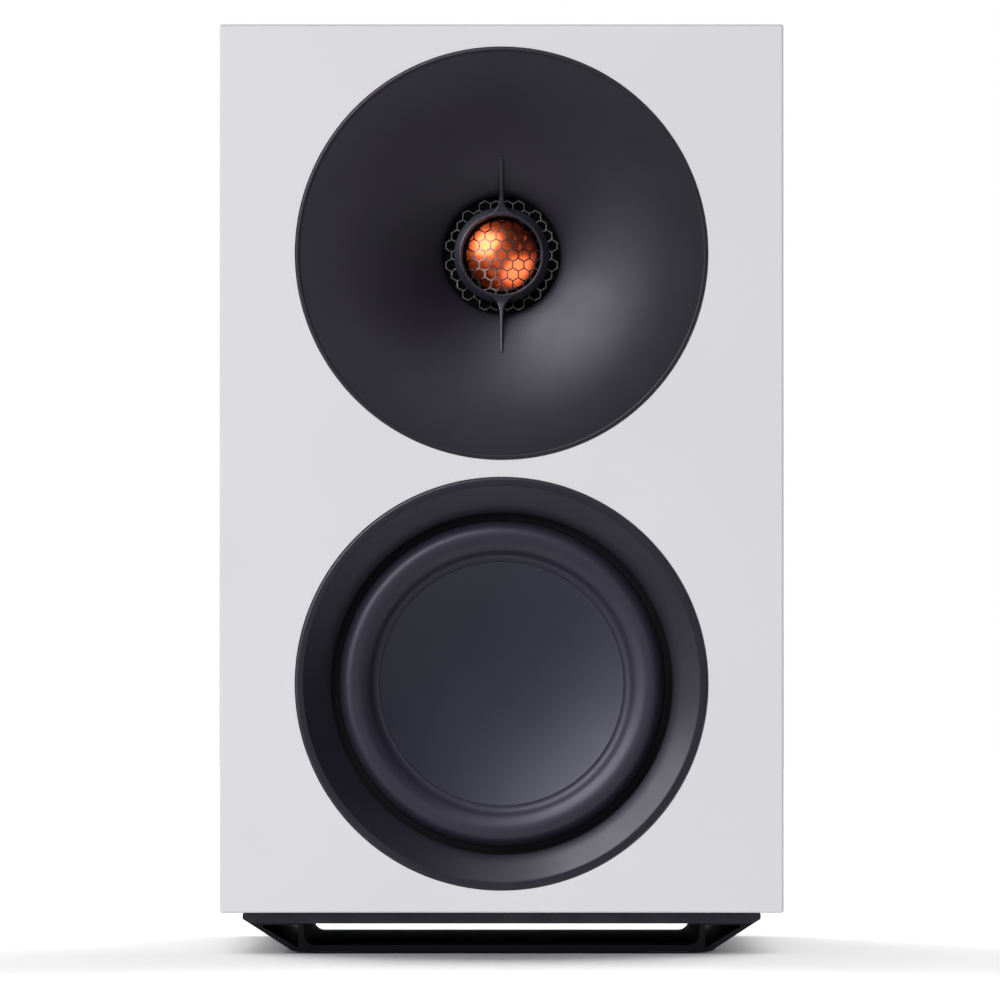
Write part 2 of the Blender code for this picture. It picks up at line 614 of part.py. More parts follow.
def terminal_plate():
    width, height = TERMINAL_HALF
    outline = rectangle(-width, width, TERMINAL_Z - height, TERMINAL_Z + height, 6.0)
    plate = prism("terminal_plate", outline, (REAR_FACE + GAP, PLATE_FACE), "black_plastic")
    for k, x in enumerate(post_places().values()):
        drill(plate, f"cut_post_hole_{k}", 3.3, (REAR_FACE - 5, REAR_FACE + 10), x, POST_Z, COARSE)


def post_places():
    return {"red": POST_SPACING / 2, "black": -POST_SPACING / 2}


def binding_post(colour, x):
    """A stud through the plate, a nut inside, and outside a loose washer and a ribbed cap on its thread."""
    thread, collar, seat = 2.9, 5.4, PLATE_FACE + GAP
    stud = [(0.0, 251.5), (thread, 251.5), (thread, seat), (collar, seat), (collar, seat + 2.4)]
    stud += [(thread, seat + 2.4), (thread, POST_END), (2.05, POST_END), (2.05, 270.0), (0.0, 270.0)]
    turned(f"post_stud_{colour}", stud, "brass", x, POST_Z, COARSE)
    nut = [(3.2, 254.4), (5.8, 254.4), (5.8, 257.2), (3.2, 257.2)]
    turned(f"post_nut_{colour}", nut, "brass", x, POST_Z, SMALL)
    washer_from = seat + 2.4 + GAP
    washer = [(3.3, washer_from), (5.9, washer_from), (5.9, washer_from + 1.5), (3.3, washer_from + 1.5)]
    turned(f"post_washer_{colour}", washer, "brass", x, POST_Z, COARSE)
    start, end = washer_from + 1.5 + GAP, POST_END - 1.0
    cap = [(3.3, start), (6.0, start), (6.4, start + 0.8), (6.4, end - 1.5), (5.6, end), (3.3, end)]
    bm = spun(cap, COARSE)
    for v in bm.verts:
        ribbed = math.hypot(v.co.x, v.co.z) > 6.2
        if ribbed and round(math.atan2(v.co.z, v.co.x) / (math.tau / COARSE)) % 2:
            v.co.x *= 0.93
            v.co.z *= 0.93
    finish = "red_plastic" if colour == "red" else "black_plastic"
    add_object(f"post_cap_{colour}", bm, place(x, 0.0, POST_Z), finish)


def crossover():
    """The board bolted behind the terminal plate, with its inductors and capacitors."""
    top, low = TERMINAL_Z + CUTOUT_HALF[1] - 2, TERMINAL_Z - CUTOUT_HALF[1] + 2
    half = CUTOUT_HALF[0] - 2
    board = prism("crossover_board", rectangle(-half, half, low, top), (257.8, 259.4), "board_green")
    for k, x in enumerate(post_places().values()):
        drill(board, f"cut_board_hole_{k}", 3.3, (250.0, 262.0), x, POST_Z)
    seat = 257.5
    low_pass = [(8.0, seat - 18), (19.0, seat - 18), (19.0, seat), (8.0, seat)]
    turned("low_pass_inductor", low_pass, "copper_wire", -25.0, 94.0, COARSE)
    high_pass = [(5.0, seat - 12), (12.0, seat - 12), (12.0, seat), (5.0, seat)]
    turned("high_pass_inductor", high_pass, "copper_wire", 30.0, 103.0, COARSE)
    can = [(0.0, seat - 25), (8.4, seat - 25), (9.0, seat - 24.4), (9.0, seat), (0.0, seat)]
    turned("low_pass_capacitor", can, "capacitor_can", -31.0, 59.5, COARSE)
    film = spun([(0.0, -13.0), (6.0, -13.0), (6.0, 13.0), (0.0, 13.0)], SMALL)
    across = (0.0, 0.0, math.pi / 2)
    add_object("high_pass_capacitor", film, place(28.0, seat - 6.2, 82.0), "capacitor_film", across)


def cables():
    """The lead to each driver, from the board to its terminals."""
    woofer = [(2.0, 257.0, 82.0), (2.0, 240.0, 84.0), (8.0, 205.0, 100.0), (14.0, 150.0, 126.0)]
    woofer += [(10.0, 95.0, 148.0), (3.0, 60.0, 152.0), (0.0, 37.0, 149.0)]
    tube("woofer_cable", woofer, 1.8, "cable_sheath")
    tweeter_lead = [(2.0, 257.0, 92.0), (3.0, 240.0, 95.0), (22.0, 215.0, 120.0), (38.0, 188.0, 160.0),
                    (40.0, 165.0, 190.0), (30.0, 130.0, 214.0), (12.0, 90.0, 236.0), (0.0, 72.0, 243.0),
                    (0.0, 60.5, 243.0)]
    tube("tweeter_cable", tweeter_lead, 1.5, "cable_sheath")


# ---------------------------------------------------------------- plinth

PLINTH_BOTTOM = 0.3
PLINTH_TOP = PLINTH_HEIGHT - GAP
PLINTH_DEPTHS = (3.0, 233.5)
PLINTH_HALF_TOP = 93.3
PLINTH_HALF_BOTTOM = 72.7
PLINTH_BAND = 10.6  # height of the lower edge of the upright band round its top
PLINTH_UNDERCUT = 4.2
PAD_PLACES = [(x, depth) for x in (-60.0, 60.0) for depth in (20.0, 214.0)]


def undercut(name, depth, outwards):
    """A wedge that slopes one end of the plinth inwards below its band."""
    low, high = PLINTH_BOTTOM - 1.0, PLINTH_BAND
    slope = PLINTH_UNDERCUT / (PLINTH_BAND - PLINTH_BOTTOM)
    bm = bmesh.new()
    edge, foot = depth, depth - outwards * slope * (high - low)
    corners = [(edge, high), (foot, low), (foot + outwards * 20, low), (edge + outwards * 20, high)]
    face = bm.faces.new([bm.verts.new((-100.0, d, z)) for d, z in corners])
    made = bmesh.ops.extrude_face_region(bm, geom=[face])
    moved = [v for v in made["geom"] if isinstance(v, bmesh.types.BMVert)]
    bmesh.ops.translate(bm, vec=(200, 0, 0), verts=moved)
    return add_object(name, bm, place(), "mdf")


def plinth():
    """A low stand: sloping sides, undercut ends, a wide tunnel and a hollow in each side."""
    edge, foot = PLINTH_HALF_TOP, PLINTH_HALF_BOTTOM
    right = [(foot, PLINTH_BOTTOM), (foot + 2.0, PLINTH_BOTTOM + 0.35), (foot + 3.6, PLINTH_BOTTOM + 1.2),
             (edge, PLINTH_TOP - 1.9), (edge, PLINTH_TOP)]
    outline = right + [(-x, z) for x, z in reversed(right)]
    body = prism("plinth", outline, PLINTH_DEPTHS, "anodised")
    through = (PLINTH_DEPTHS[0] - 5, PLINTH_DEPTHS[1] + 5)
    width, floor, ceiling, corner = 71.3, 2.5, 10.5, 5.0
    arc = [(width - corner + corner * math.sin(a), floor + corner - corner * math.cos(a))
           for a in (math.radians(22.5 * k) for k in range(5))]
    tunnel = [*arc, (width, ceiling), (-width, ceiling), *((-x, z) for x, z in reversed(arc))]
    combine(body, prism("cut_tunnel", tunnel, through, "mdf"))
    combine(body, undercut("cut_front_end", PLINTH_DEPTHS[0], -1))
    combine(body, undercut("cut_rear_end", PLINTH_DEPTHS[1], 1))
    for side in (-1, 1):
        hollow = [(side * 73.3, 10.0), (side * 87.2, 10.0), (side * 73.3, 1.5)]
        combine(body, prism(f"cut_hollow_{side + 1}", hollow, through, "mdf"))
    for k, (x, depth) in enumerate(PLINTH_SCREWS):
        drill_upright(body, f"cut_plinth_screw_{k}", 2.2, (7.0, 20.0), x, depth)
        drill_upright(body, f"cut_plinth_access_{k}", 4.6, (-5.0, 7.0), x, depth)
        drill_upright(body, f"cut_plinth_head_{k}", 4.2, (9.0, 12.9), x, depth)
    for k, (x, depth) in enumerate(PAD_PLACES):
        drill_upright(body, f"cut_pad_socket_{k}", 8.3, (-5.0, 1.7), x, depth, 16)


def plinth_fittings():
    pad = [(0.0, 0.0), (7.7, 0.0), (8.0, 0.3), (8.0, 1.4), (0.0, 1.4)]
    for k, (x, depth) in enumerate(PAD_PLACES):
        turned_upright(f"foot_pad_{k + 1}", pad, "rubber", x, depth, 16)
    screw = [(0.0, 10.8), (3.2, 10.8), (3.8, 11.4), (3.8, 12.6), (1.7, 12.6), (1.7, 24.0), (0.0, 26.0)]
    for k, (x, depth) in enumerate(PLINTH_SCREWS):
        turned_upright(f"plinth_screw_{k + 1}", screw, "dark_steel", x, depth)


def main():
    clear_scene()
    wall_panels()
    front_baffle()
    rear_panel()
    brace_panel()
    damping_lining()
    waveguide()
    bridge_ring()
    grille()
    tweeter()
    trim_ring()
    surround()
    cone()
    suspension()
    basket()
    motor()
    woofer_fittings()
    port_tube()
    terminal_plate()
    for colour, x in post_places().items():
        binding_post(colour, x)
    crossover()
    cables()
    plinth()
    plinth_fittings()


main()
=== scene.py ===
"""Looks for the bookshelf speaker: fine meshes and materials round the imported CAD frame.

Sizes are in millimetres, except in the studio, where they are in metres. A depth is the distance behind
the front face of the baffle. A turned piece is a list of (radius, depth) points spun about its driver's
axis, as in the CAD model, and a third number in a point is the radius that rounds its corner.
"""

import json
import math

import bmesh
import bpy
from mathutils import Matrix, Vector


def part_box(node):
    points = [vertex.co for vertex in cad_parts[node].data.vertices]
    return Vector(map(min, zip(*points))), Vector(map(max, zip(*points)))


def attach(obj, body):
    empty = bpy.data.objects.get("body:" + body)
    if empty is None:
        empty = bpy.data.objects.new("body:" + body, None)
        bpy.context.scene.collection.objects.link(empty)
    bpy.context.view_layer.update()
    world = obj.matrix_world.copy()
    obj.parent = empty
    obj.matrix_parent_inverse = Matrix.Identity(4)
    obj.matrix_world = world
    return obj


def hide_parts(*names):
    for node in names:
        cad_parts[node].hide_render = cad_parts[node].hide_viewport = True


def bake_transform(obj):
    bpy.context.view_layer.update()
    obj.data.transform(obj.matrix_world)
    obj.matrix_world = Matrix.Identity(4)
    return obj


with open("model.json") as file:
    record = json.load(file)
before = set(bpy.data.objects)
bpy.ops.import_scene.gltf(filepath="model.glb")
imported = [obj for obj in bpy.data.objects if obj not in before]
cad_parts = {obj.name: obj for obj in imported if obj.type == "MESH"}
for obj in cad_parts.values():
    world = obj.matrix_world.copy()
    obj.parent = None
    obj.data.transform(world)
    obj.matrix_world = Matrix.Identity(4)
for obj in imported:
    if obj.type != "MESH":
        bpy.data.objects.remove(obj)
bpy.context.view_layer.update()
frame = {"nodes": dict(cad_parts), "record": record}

MM = 0.001
ROOT = "cabinet"
WOOFER_BODY = "woofer_diaphragm"
TWEETER_BODY = "tweeter_diaphragm"


def box_mm(node):
    """Lowest and highest corner of a CAD node, in millimetres."""
    low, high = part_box(node)
    return low / MM, high / MM


def upright_axis(node):
    """(x, y) of the middle of a CAD node, in millimetres."""
    low, high = box_mm(node)
    return (low + high).xy / 2


def axis_of(node):
    """(x, z) of the middle of a CAD node, in millimetres."""
    low, high = box_mm(node)
    return (low.x + high.x) / 2, (low.z + high.z) / 2


BAFFLE_LOW, BAFFLE_HIGH = box_mm("front_baffle")
FRONT_Y = BAFFLE_LOW.y
BAFFLE = BAFFLE_HIGH.y - BAFFLE_LOW.y
HALF_WIDTH = BAFFLE_HIGH.x
CABINET_BOTTOM, CABINET_TOP = BAFFLE_LOW.z, BAFFLE_HIGH.z
REAR_FACE = box_mm("top_panel")[1].y - FRONT_Y
WALL = CABINET_TOP - box_mm("top_panel")[0].z
TWEETER_AXIS = (0.0, axis_of("waveguide")[1])
WOOFER_AXIS = (0.0, axis_of("woofer_trim_ring")[1])
RIM_RADIUS = box_mm("waveguide")[1].x
RIM_PROUD = FRONT_Y - box_mm("waveguide")[0].y
EDGE_ROUND = 0.9  # of the lacquered cabinet
SEAM = 0.25  # how far the edges at the joint behind the baffle are broken
PAST = 5.0  # how far a cutter reaches past what it cuts

FINE_STEPS = 240
TURN_STEPS = 96
SMALL_STEPS = 40


# ---------------------------------------------------------------- mesh helpers


def new_object(name, data):
    obj = bpy.data.objects.new(name, data)
    bpy.context.scene.collection.objects.link(obj)
    return obj


def add_piece(name, verts, faces, finish, body=ROOT, sharp=35.0, stands_for=(), slot=None):
    """A mesh from points in millimetres, in the frame's axes, riding on a body."""
    mesh = bpy.data.meshes.new(name)
    mesh.from_pydata([Vector(v) * MM for v in verts], [], faces)
    bm = bmesh.new()
    bm.from_mesh(mesh)
    bmesh.ops.recalc_face_normals(bm, faces=bm.faces)
    if bm.calc_volume(signed=True) < 0:
        bmesh.ops.reverse_faces(bm, faces=bm.faces)
    bm.to_mesh(mesh)
    bm.free()
    mesh.shade_smooth()
    mesh.set_sharp_from_angle(angle=math.radians(sharp))
    mesh.materials.append(finish)
    obj = new_object(name, mesh)
    if body:
        place_on(obj, body, stands_for)
    return obj


def place_on(obj, body, stands_for=()):
    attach(obj, body)
    if stands_for:
        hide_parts(*stands_for)


def rounded(points, steps=5):
    """A closed outline whose corners are rounded: each point is (a, b) or (a, b, radius)."""
    outline = []
    count = len(points)
    for k, point in enumerate(points):
        here = Vector(point[:2])
        radius = point[2] if len(point) > 2 else 0.0
        before = Vector(points[k - 1][:2]) - here
        after = Vector(points[(k + 1) % count][:2]) - here
        if not radius or before.length < 1e-9 or after.length < 1e-9:
            outline.append(tuple(here))
            continue
        half = before.angle(after) / 2
        if half > math.radians(89):
            outline.append(tuple(here))
            continue
        reach = min(radius / math.tan(half), before.length * 0.49, after.length * 0.49)
        radius = reach * math.tan(half)
        middle = (before.normalized() + after.normalized()).normalized()
        centre = here + middle * (radius / math.sin(half))
        first = here + before.normalized() * reach - centre
        last = here + after.normalized() * reach - centre
        sweep = math.atan2(first.x * last.y - first.y * last.x, first.dot(last))
        for step in range(steps + 1):
            angle = sweep * step / steps
            c, s = math.cos(angle), math.sin(angle)
            outline.append((centre.x + first.x * c - first.y * s, centre.y + first.x * s + first.y * c))
    return outline


def spin_mesh(profile, steps, axis, closed=True):
    """Points and faces of an outline of (radius, depth) turned about a line along Y through axis = (x, z)."""
    verts, faces, rings = [], [], []
    for radius, depth in profile:
        if radius < 1e-6:
            rings.append([len(verts)])
            verts.append((axis[0], FRONT_Y + depth, axis[1]))
            continue
        rings.append(range(len(verts), len(verts) + steps))
        for k in range(steps):
            angle = math.tau * k / steps
            x, z = axis[0] + radius * math.cos(angle), axis[1] + radius * math.sin(angle)
            verts.append((x, FRONT_Y + depth, z))
    pairs = list(zip(rings, rings[1:]))
    if closed:
        pairs.append((rings[-1], rings[0]))
    for a, b in pairs:
        if len(a) == 1 and len(b) == 1:
            continue
        for k in range(steps):
            n = (k + 1) % steps
            quad = (a[k % len(a)], a[n % len(a)], b[n % len(b)], b[k % len(b)])
            faces.append(tuple(dict.fromkeys(quad)))
    return verts, faces


def turned(name, profile, finish, axis, steps=TURN_STEPS, body=ROOT, stands_for=(), slot=None, sharp=35.0):
    verts, faces = spin_mesh(profile, steps, axis)
    return add_piece(name, verts, faces, finish, body, sharp, stands_for, slot)


def upright(profile, steps, x, depth):
    """Points and faces of an outline of (radius, height) turned about an upright line."""
    verts, faces = spin_mesh(profile, steps, (0.0, 0.0))
    verts = [(x + v[0], FRONT_Y + depth + v[2], v[1] - FRONT_Y) for v in verts]
    return verts, faces


def loft(rings, caps=False):
    """Faces that join rings of equally many points: the last to the first, or with a flat cap at each end."""
    verts = [v for ring in rings for v in ring]
    count = len(rings[0])
    faces = [tuple(range(count)), tuple(range(len(verts) - count, len(verts)))] if caps else []
    for k in range(len(rings) - int(caps)):
        a, b = k * count, (k + 1) % len(rings) * count
        faces += [(a + i, a + (i + 1) % count, b + (i + 1) % count, b + i) for i in range(count)]
    return verts, faces


def rounded_rectangle(half_width, low, high, radius, steps=6):
    """Points (x, z) round a rectangle with round corners."""
    points = []
    for cx, cz, first in (
        (half_width - radius, low + radius, -90),
        (half_width - radius, high - radius, 0),
        (-half_width + radius, high - radius, 90),
        (-half_width + radius, low + radius, 180),
    ):
        for k in range(steps + 1):
            angle = math.radians(first + 90 * k / steps)
            points.append((cx + radius * math.cos(angle), cz + radius * math.sin(angle)))
    return points


def prism_mesh(outline, depths):
    """Points and faces of an outline of (x, z) points between two depths."""
    return loft([[(x, FRONT_Y + depth, z) for x, z in outline] for depth in depths], caps=True)


def bore(radius, low, high):
    """Outline of a plain round hole between two depths or heights."""
    return [(0.0, low), (radius, low), (radius, high), (0.0, high)]


def rectangle(half_width, half_height, middle):
    """Outline of (x, z) points round a middle."""
    low_x, high_x = middle[0] - half_width, middle[0] + half_width
    low_z, high_z = middle[1] - half_height, middle[1] + half_height
    return [(low_x, low_z), (high_x, low_z), (high_x, high_z), (low_x, high_z)]


def cutter(verts, faces):
    """A hidden helper for a Boolean."""
    return add_piece("helper", verts, faces, MATERIALS["white_lacquer"], body=None)


def combine(obj, others, operation="DIFFERENCE"):
    """Cuts or adds helpers, applies the result to the mesh and removes them."""
    for other in others:
        modifier = obj.modifiers.new("combine", "BOOLEAN")
        modifier.object = other
        modifier.operation = operation
        modifier.solver = "EXACT"
    apply_modifiers(obj)
    for other in others:
        bpy.data.objects.remove(other, do_unlink=True)


def apply_modifiers(obj):
    graph = bpy.context.evaluated_depsgraph_get()
    graph.update()
    made = bpy.data.meshes.new_from_object(obj.evaluated_get(graph))
    obj.modifiers.clear()
    obj.data = made


def crisp(obj, angle):
    """Smooth shading that stops at edges sharper than the angle."""
    obj.data.shade_smooth()
    obj.data.set_sharp_from_angle(angle=math.radians(angle))


def soften_edges(obj, width, segments, angle):
    """Rounds every crisp edge a little, and keeps the flat faces flat in the shading."""
    bevel = obj.modifiers.new("soften", "BEVEL")
    bevel.width = width * MM
    bevel.segments = segments
    bevel.limit_method = "ANGLE"
    bevel.angle_limit = math.radians(angle)
    bevel.use_clamp_overlap = True
    bevel.miter_outer = "MITER_ARC"
    apply_modifiers(obj)
    obj.data.shade_smooth()
    flatten_shading(obj)


def flatten_shading(obj):
    normals = obj.modifiers.new("flat", "WEIGHTED_NORMAL")
    normals.weight = 80
    normals.keep_sharp = True
    apply_modifiers(obj)


# ---------------------------------------------------------------- materials


class Finish:
    """A Principled material with a few helpers that wire noise into it."""

    def __init__(self, name, roughness=0.5, metallic=0.0, specular=0.5, tint=(1, 1, 1), coat=0.0, sheen=0.0):
        self.material = bpy.data.materials.new(name)
        self.material.use_nodes = True
        self.nodes = self.material.node_tree.nodes
        self.links = self.material.node_tree.links
        self.shader = self.nodes["Principled BSDF"]
        self.set("Roughness", roughness)
        self.set("Metallic", metallic)
        self.set("Specular IOR Level", specular)
        self.set("Specular Tint", (*tint, 1.0))
        self.set("Coat Weight", coat)
        self.set("Sheen Weight", sheen)
        self.where = self.nodes.new("ShaderNodeTexCoord").outputs["Object"]

    def set(self, socket, value):
        self.shader.inputs[socket].default_value = value

    def noise(self, size_mm, detail, stretch=(1, 1, 1)):
        """Noise whose features are about size_mm across."""
        mapping = self.nodes.new("ShaderNodeMapping")
        mapping.inputs["Scale"].default_value = stretch
        self.links.new(self.where, mapping.inputs["Vector"])
        made = self.nodes.new("ShaderNodeTexNoise")
        made.inputs["Scale"].default_value = 1 / (size_mm * MM)
        made.inputs["Detail"].default_value = detail
        self.links.new(mapping.outputs["Vector"], made.inputs["Vector"])
        return made.outputs["Fac"]

    def colour(self, source, dark, light):
        made = self.nodes.new("ShaderNodeValToRGB")
        for element, position, colour in zip(made.color_ramp.elements, (0.3, 0.7), (dark, light)):
            element.position = position
            element.color = (*colour, 1.0)
        self.links.new(source, made.inputs["Fac"])
        self.links.new(made.outputs["Color"], self.shader.inputs["Base Color"])

    def roughness(self, source, low, high):
        made = self.nodes.new("ShaderNodeMapRange")
        made.inputs["From Min"].default_value = 0.25
        made.inputs["From Max"].default_value = 0.75
        made.inputs["To Min"].default_value = low
        made.inputs["To Max"].default_value = high
        self.links.new(source, made.inputs["Value"])
        self.links.new(made.outputs["Result"], self.shader.inputs["Roughness"])

    def bump(self, source, depth_mm, strength=1.0):
        made = self.nodes.new("ShaderNodeBump")
        made.inputs["Strength"].default_value = strength
        made.inputs["Distance"].default_value = depth_mm * MM
        self.links.new(source, made.inputs["Height"])
        self.links.new(made.outputs["Normal"], self.shader.inputs["Normal"])


def white_lacquer():
    """Satin paint: nearly even, with faint mottling and an orange peel that only glancing light shows."""
    finish = Finish("white_lacquer", specular=0.35)
    finish.colour(finish.noise(60.0, 2.0), (0.725, 0.720, 0.745), (0.742, 0.737, 0.762))
    finish.roughness(finish.noise(14.0, 4.0), 0.42, 0.50)
    finish.bump(finish.noise(0.9, 2.0), 0.012, 0.35)
    return finish.material


def moulded_plastic(name, dark, light, low, high, grain_mm, grain_depth, specular=0.5, tint=(1, 1, 1)):
    """Moulded plastic, with a fine spark-eroded grain and a roughness that wanders from low to high."""
    finish = Finish(name, specular=specular, tint=tint)
    finish.colour(finish.noise(22.0, 4.0), dark, light)
    finish.roughness(finish.noise(9.0, 5.0), low, high)
    finish.bump(finish.noise(grain_mm, 3.0), grain_depth, 0.5)
    return finish.material


def metal(name, dark, light, low, high, stretch=(1, 1, 1), grain_mm=0.4, depth=0.01):
    """Bare metal, whose grain can run along one axis."""
    finish = Finish(name, metallic=1.0)
    finish.colour(finish.noise(12.0, 4.0), dark, light)
    finish.roughness(finish.noise(grain_mm * 3, 4.0, stretch), low, high)
    finish.bump(finish.noise(grain_mm, 3.0, stretch), depth, 0.4)
    return finish.material


def copper_dome():
    """Polished copper-coloured metal under a thin clear coat."""
    finish = Finish("copper_dome", metallic=1.0, coat=0.2)
    finish.colour(finish.noise(3.0, 3.0), (0.92, 0.145, 0.046), (0.96, 0.168, 0.055))
    finish.roughness(finish.noise(6.0, 2.0), 0.26, 0.30)
    finish.bump(finish.noise(0.8, 1.0), 0.001, 0.2)
    return finish.material


def mesh_metal():
    """Thin dark metal, rubbed brighter in places."""
    finish = Finish("dark_mesh", metallic=1.0)
    finish.colour(finish.noise(2.5, 5.0), (0.120, 0.110, 0.110), (0.20, 0.185, 0.185))
    finish.roughness(finish.noise(0.8, 4.0), 0.22, 0.34)
    finish.bump(finish.noise(0.15, 2.0), 0.004, 0.4)
    return finish.material


def cloth(name, dark, light):
    """Fibrous cloth or felt."""
    finish = Finish(name, roughness=0.9, sheen=0.2)
    finish.colour(finish.noise(0.8, 4.0), dark, light)
    finish.bump(finish.noise(0.6, 4.0), 0.1, 0.6)
    return finish.material


def fibreboard():
    """The raw board of the hidden brace."""
    finish = Finish("mdf", roughness=0.85)
    finish.colour(finish.noise(0.7, 6.0), (0.36, 0.26, 0.17), (0.52, 0.40, 0.27))
    finish.bump(finish.noise(0.5, 5.0), 0.05, 0.5)
    return finish.material


VIOLET = (0.91, 0.89, 1.0)  # the cast of the reflections on the dark plastics


def make_materials():
    made = [
        white_lacquer(),
        moulded_plastic("black_plastic", (0.0125, 0.0108, 0.0165), (0.0150, 0.0130, 0.0195), 0.40, 0.47,
                        0.16, 0.010, 0.5, VIOLET),
        moulded_plastic("trim_plastic", (0.0125, 0.0110, 0.0185), (0.0150, 0.0132, 0.0215), 0.36, 0.42,
                        0.14, 0.008, 0.5, VIOLET),
        moulded_plastic("rubber", (0.0236, 0.0220, 0.0372), (0.0274, 0.0252, 0.0425), 0.40, 0.48,
                        0.12, 0.010, 0.5, VIOLET),
        moulded_plastic("cone_graphite", (0.0180, 0.0190, 0.0345), (0.0210, 0.0220, 0.0390), 0.44, 0.50,
                        0.25, 0.012, 0.56, VIOLET),
        # rubber_painted_shade: a darker, duller copy of the rubber, painted shade for the recesses it is put on
        moulded_plastic("rubber_painted_shade", (0.0090, 0.0085, 0.0115), (0.0110, 0.0105, 0.0140), 0.70, 0.80,
                        0.3, 0.02, 0.25),
        # painted_shade_black: near-black, painted shade on the grille plate round the dome; the unseen flag
        # card uses it too
        moulded_plastic("painted_shade_black", (0.0020, 0.0020, 0.0022), (0.0035, 0.0034, 0.0038), 0.85, 0.95,
                        0.3, 0.05, 0.1),
        moulded_plastic("board_green", (0.02, 0.13, 0.06), (0.03, 0.18, 0.09), 0.35, 0.5, 0.6, 0.01),
        moulded_plastic("red_plastic", (0.42, 0.012, 0.012), (0.52, 0.018, 0.016), 0.25, 0.35, 0.3, 0.005),
        moulded_plastic("capacitor_film", (0.55, 0.07, 0.04), (0.66, 0.09, 0.05), 0.25, 0.35, 0.8, 0.01),
        moulded_plastic("capacitor_can", (0.03, 0.04, 0.08), (0.05, 0.06, 0.11), 0.25, 0.35, 0.8, 0.01),
        moulded_plastic("cable_sheath", (0.02, 0.02, 0.02), (0.03, 0.03, 0.03), 0.4, 0.55, 0.4, 0.02),
        moulded_plastic("ferrite", (0.03, 0.03, 0.033), (0.05, 0.05, 0.053), 0.6, 0.8, 0.5, 0.05),
        moulded_plastic("basket_alloy", (0.025, 0.025, 0.028), (0.035, 0.035, 0.038), 0.4, 0.55, 0.5, 0.03),
        copper_dome(),
        mesh_metal(),
        metal("steel", (0.50, 0.50, 0.51), (0.62, 0.62, 0.63), 0.25, 0.4),
        metal("dark_steel", (0.06, 0.06, 0.065), (0.10, 0.10, 0.105), 0.35, 0.5),
        metal("copper_wire", (0.62, 0.25, 0.10), (0.80, 0.38, 0.18), 0.25, 0.4, (1, 12, 1)),
        metal("brass", (0.82, 0.58, 0.24), (0.92, 0.70, 0.34), 0.16, 0.28),
        metal("anodised", (0.062, 0.057, 0.075), (0.084, 0.078, 0.099), 0.38, 0.5, (0.08, 1, 1), 0.3, 0.006),
        cloth("spider_cloth", (0.52, 0.33, 0.10), (0.68, 0.46, 0.18)),
        cloth("wadding", (0.70, 0.70, 0.68), (0.88, 0.88, 0.86)),
        fibreboard(),
    ]
    return {material.name.split(".")[0]: material for material in made}


MATERIALS = make_materials()


def dress_cad_nodes():
    """Gives every CAD node that still shows the fine version of its own material."""
    slots = {part["node"]: part["material_slot"] for part in frame["record"]["subparts"]}
    for name, obj in frame["nodes"].items():
        if obj.hide_render:
            continue
        obj.data.materials.clear()
        obj.data.materials.append(MATERIALS[slots[name]])


# ---------------------------------------------------------------- studio

PHOTO_WIDTH = 0.36  # metres across the picture at the front of the baffle
CAMERA_DISTANCE = 3.85
CAMERA_HEIGHT = 0.109
CAMERA_X = -0.0006
PICTURE_MIDDLE = 0.163  # height of the picture's middle at the front of the baffle
SENSOR = 36.0


def add_camera():
    data = bpy.data.cameras.new("camera")
    camera = new_object("camera", data)
    front = Vector((CAMERA_X, FRONT_Y * MM, PICTURE_MIDDLE))
    camera.location = (CAMERA_X, FRONT_Y * MM - CAMERA_DISTANCE, CAMERA_HEIGHT)
    direction = front - camera.location
    camera.rotation_euler = direction.to_track_quat("-Z", "Y").to_euler()
    data.sensor_width = SENSOR
    data.lens = SENSOR * direction.length / PHOTO_WIDTH
    data.clip_start = 0.1
    data.clip_end = 60.0
    bpy.context.scene.camera = camera


FRONT_MIDDLE = Vector((0.0, FRONT_Y * MM, 0.17))


def softbox(name, towards, distance, size, radiance, target=FRONT_MIDDLE, height=None):
    """A flat lamp whose face has the given radiance, square unless it has a height, turned to its target."""
    data = bpy.data.lights.new(name, "AREA")
    data.shape = "RECTANGLE"
    height = height or size
    data.size, data.size_y = size, height
    data.energy = radiance * math.pi * size * height
    lamp = new_object(name, data)
    lamp.location = target + Vector(towards).normalized() * distance
    lamp.rotation_euler = (target - lamp.location).to_track_quat("-Z", "Y").to_euler()
    lamp.visible_camera = False
    return lamp


AROUND = 0.35  # radiance of the surroundings
DIMMEST = 0.02  # the same, in the dark corner
DIM_CORNER = Vector((0.62, -0.30, 0.72))  # where the surroundings are darkest, up on the right
DIM_FROM, DIM_TO = 0.25, 0.80  # cosine of the angle to the corner, where it starts and where it is full


def surroundings(nodes, links):
    """Radiance by direction: even, but for a dark corner on the upper right."""
    direction = nodes.new("ShaderNodeTexCoord")
    nearness = nodes.new("ShaderNodeVectorMath")
    nearness.operation = "DOT_PRODUCT"
    nearness.inputs[1].default_value = DIM_CORNER.normalized()
    links.new(direction.outputs["Generated"], nearness.inputs[0])
    level = nodes.new("ShaderNodeMapRange")
    level.interpolation_type = "SMOOTHSTEP"
    level.inputs["From Min"].default_value = DIM_FROM
    level.inputs["From Max"].default_value = DIM_TO
    level.inputs["To Min"].default_value = AROUND
    level.inputs["To Max"].default_value = DIMMEST
    links.new(nearness.outputs["Value"], level.inputs["Value"])
    return level.outputs["Result"]


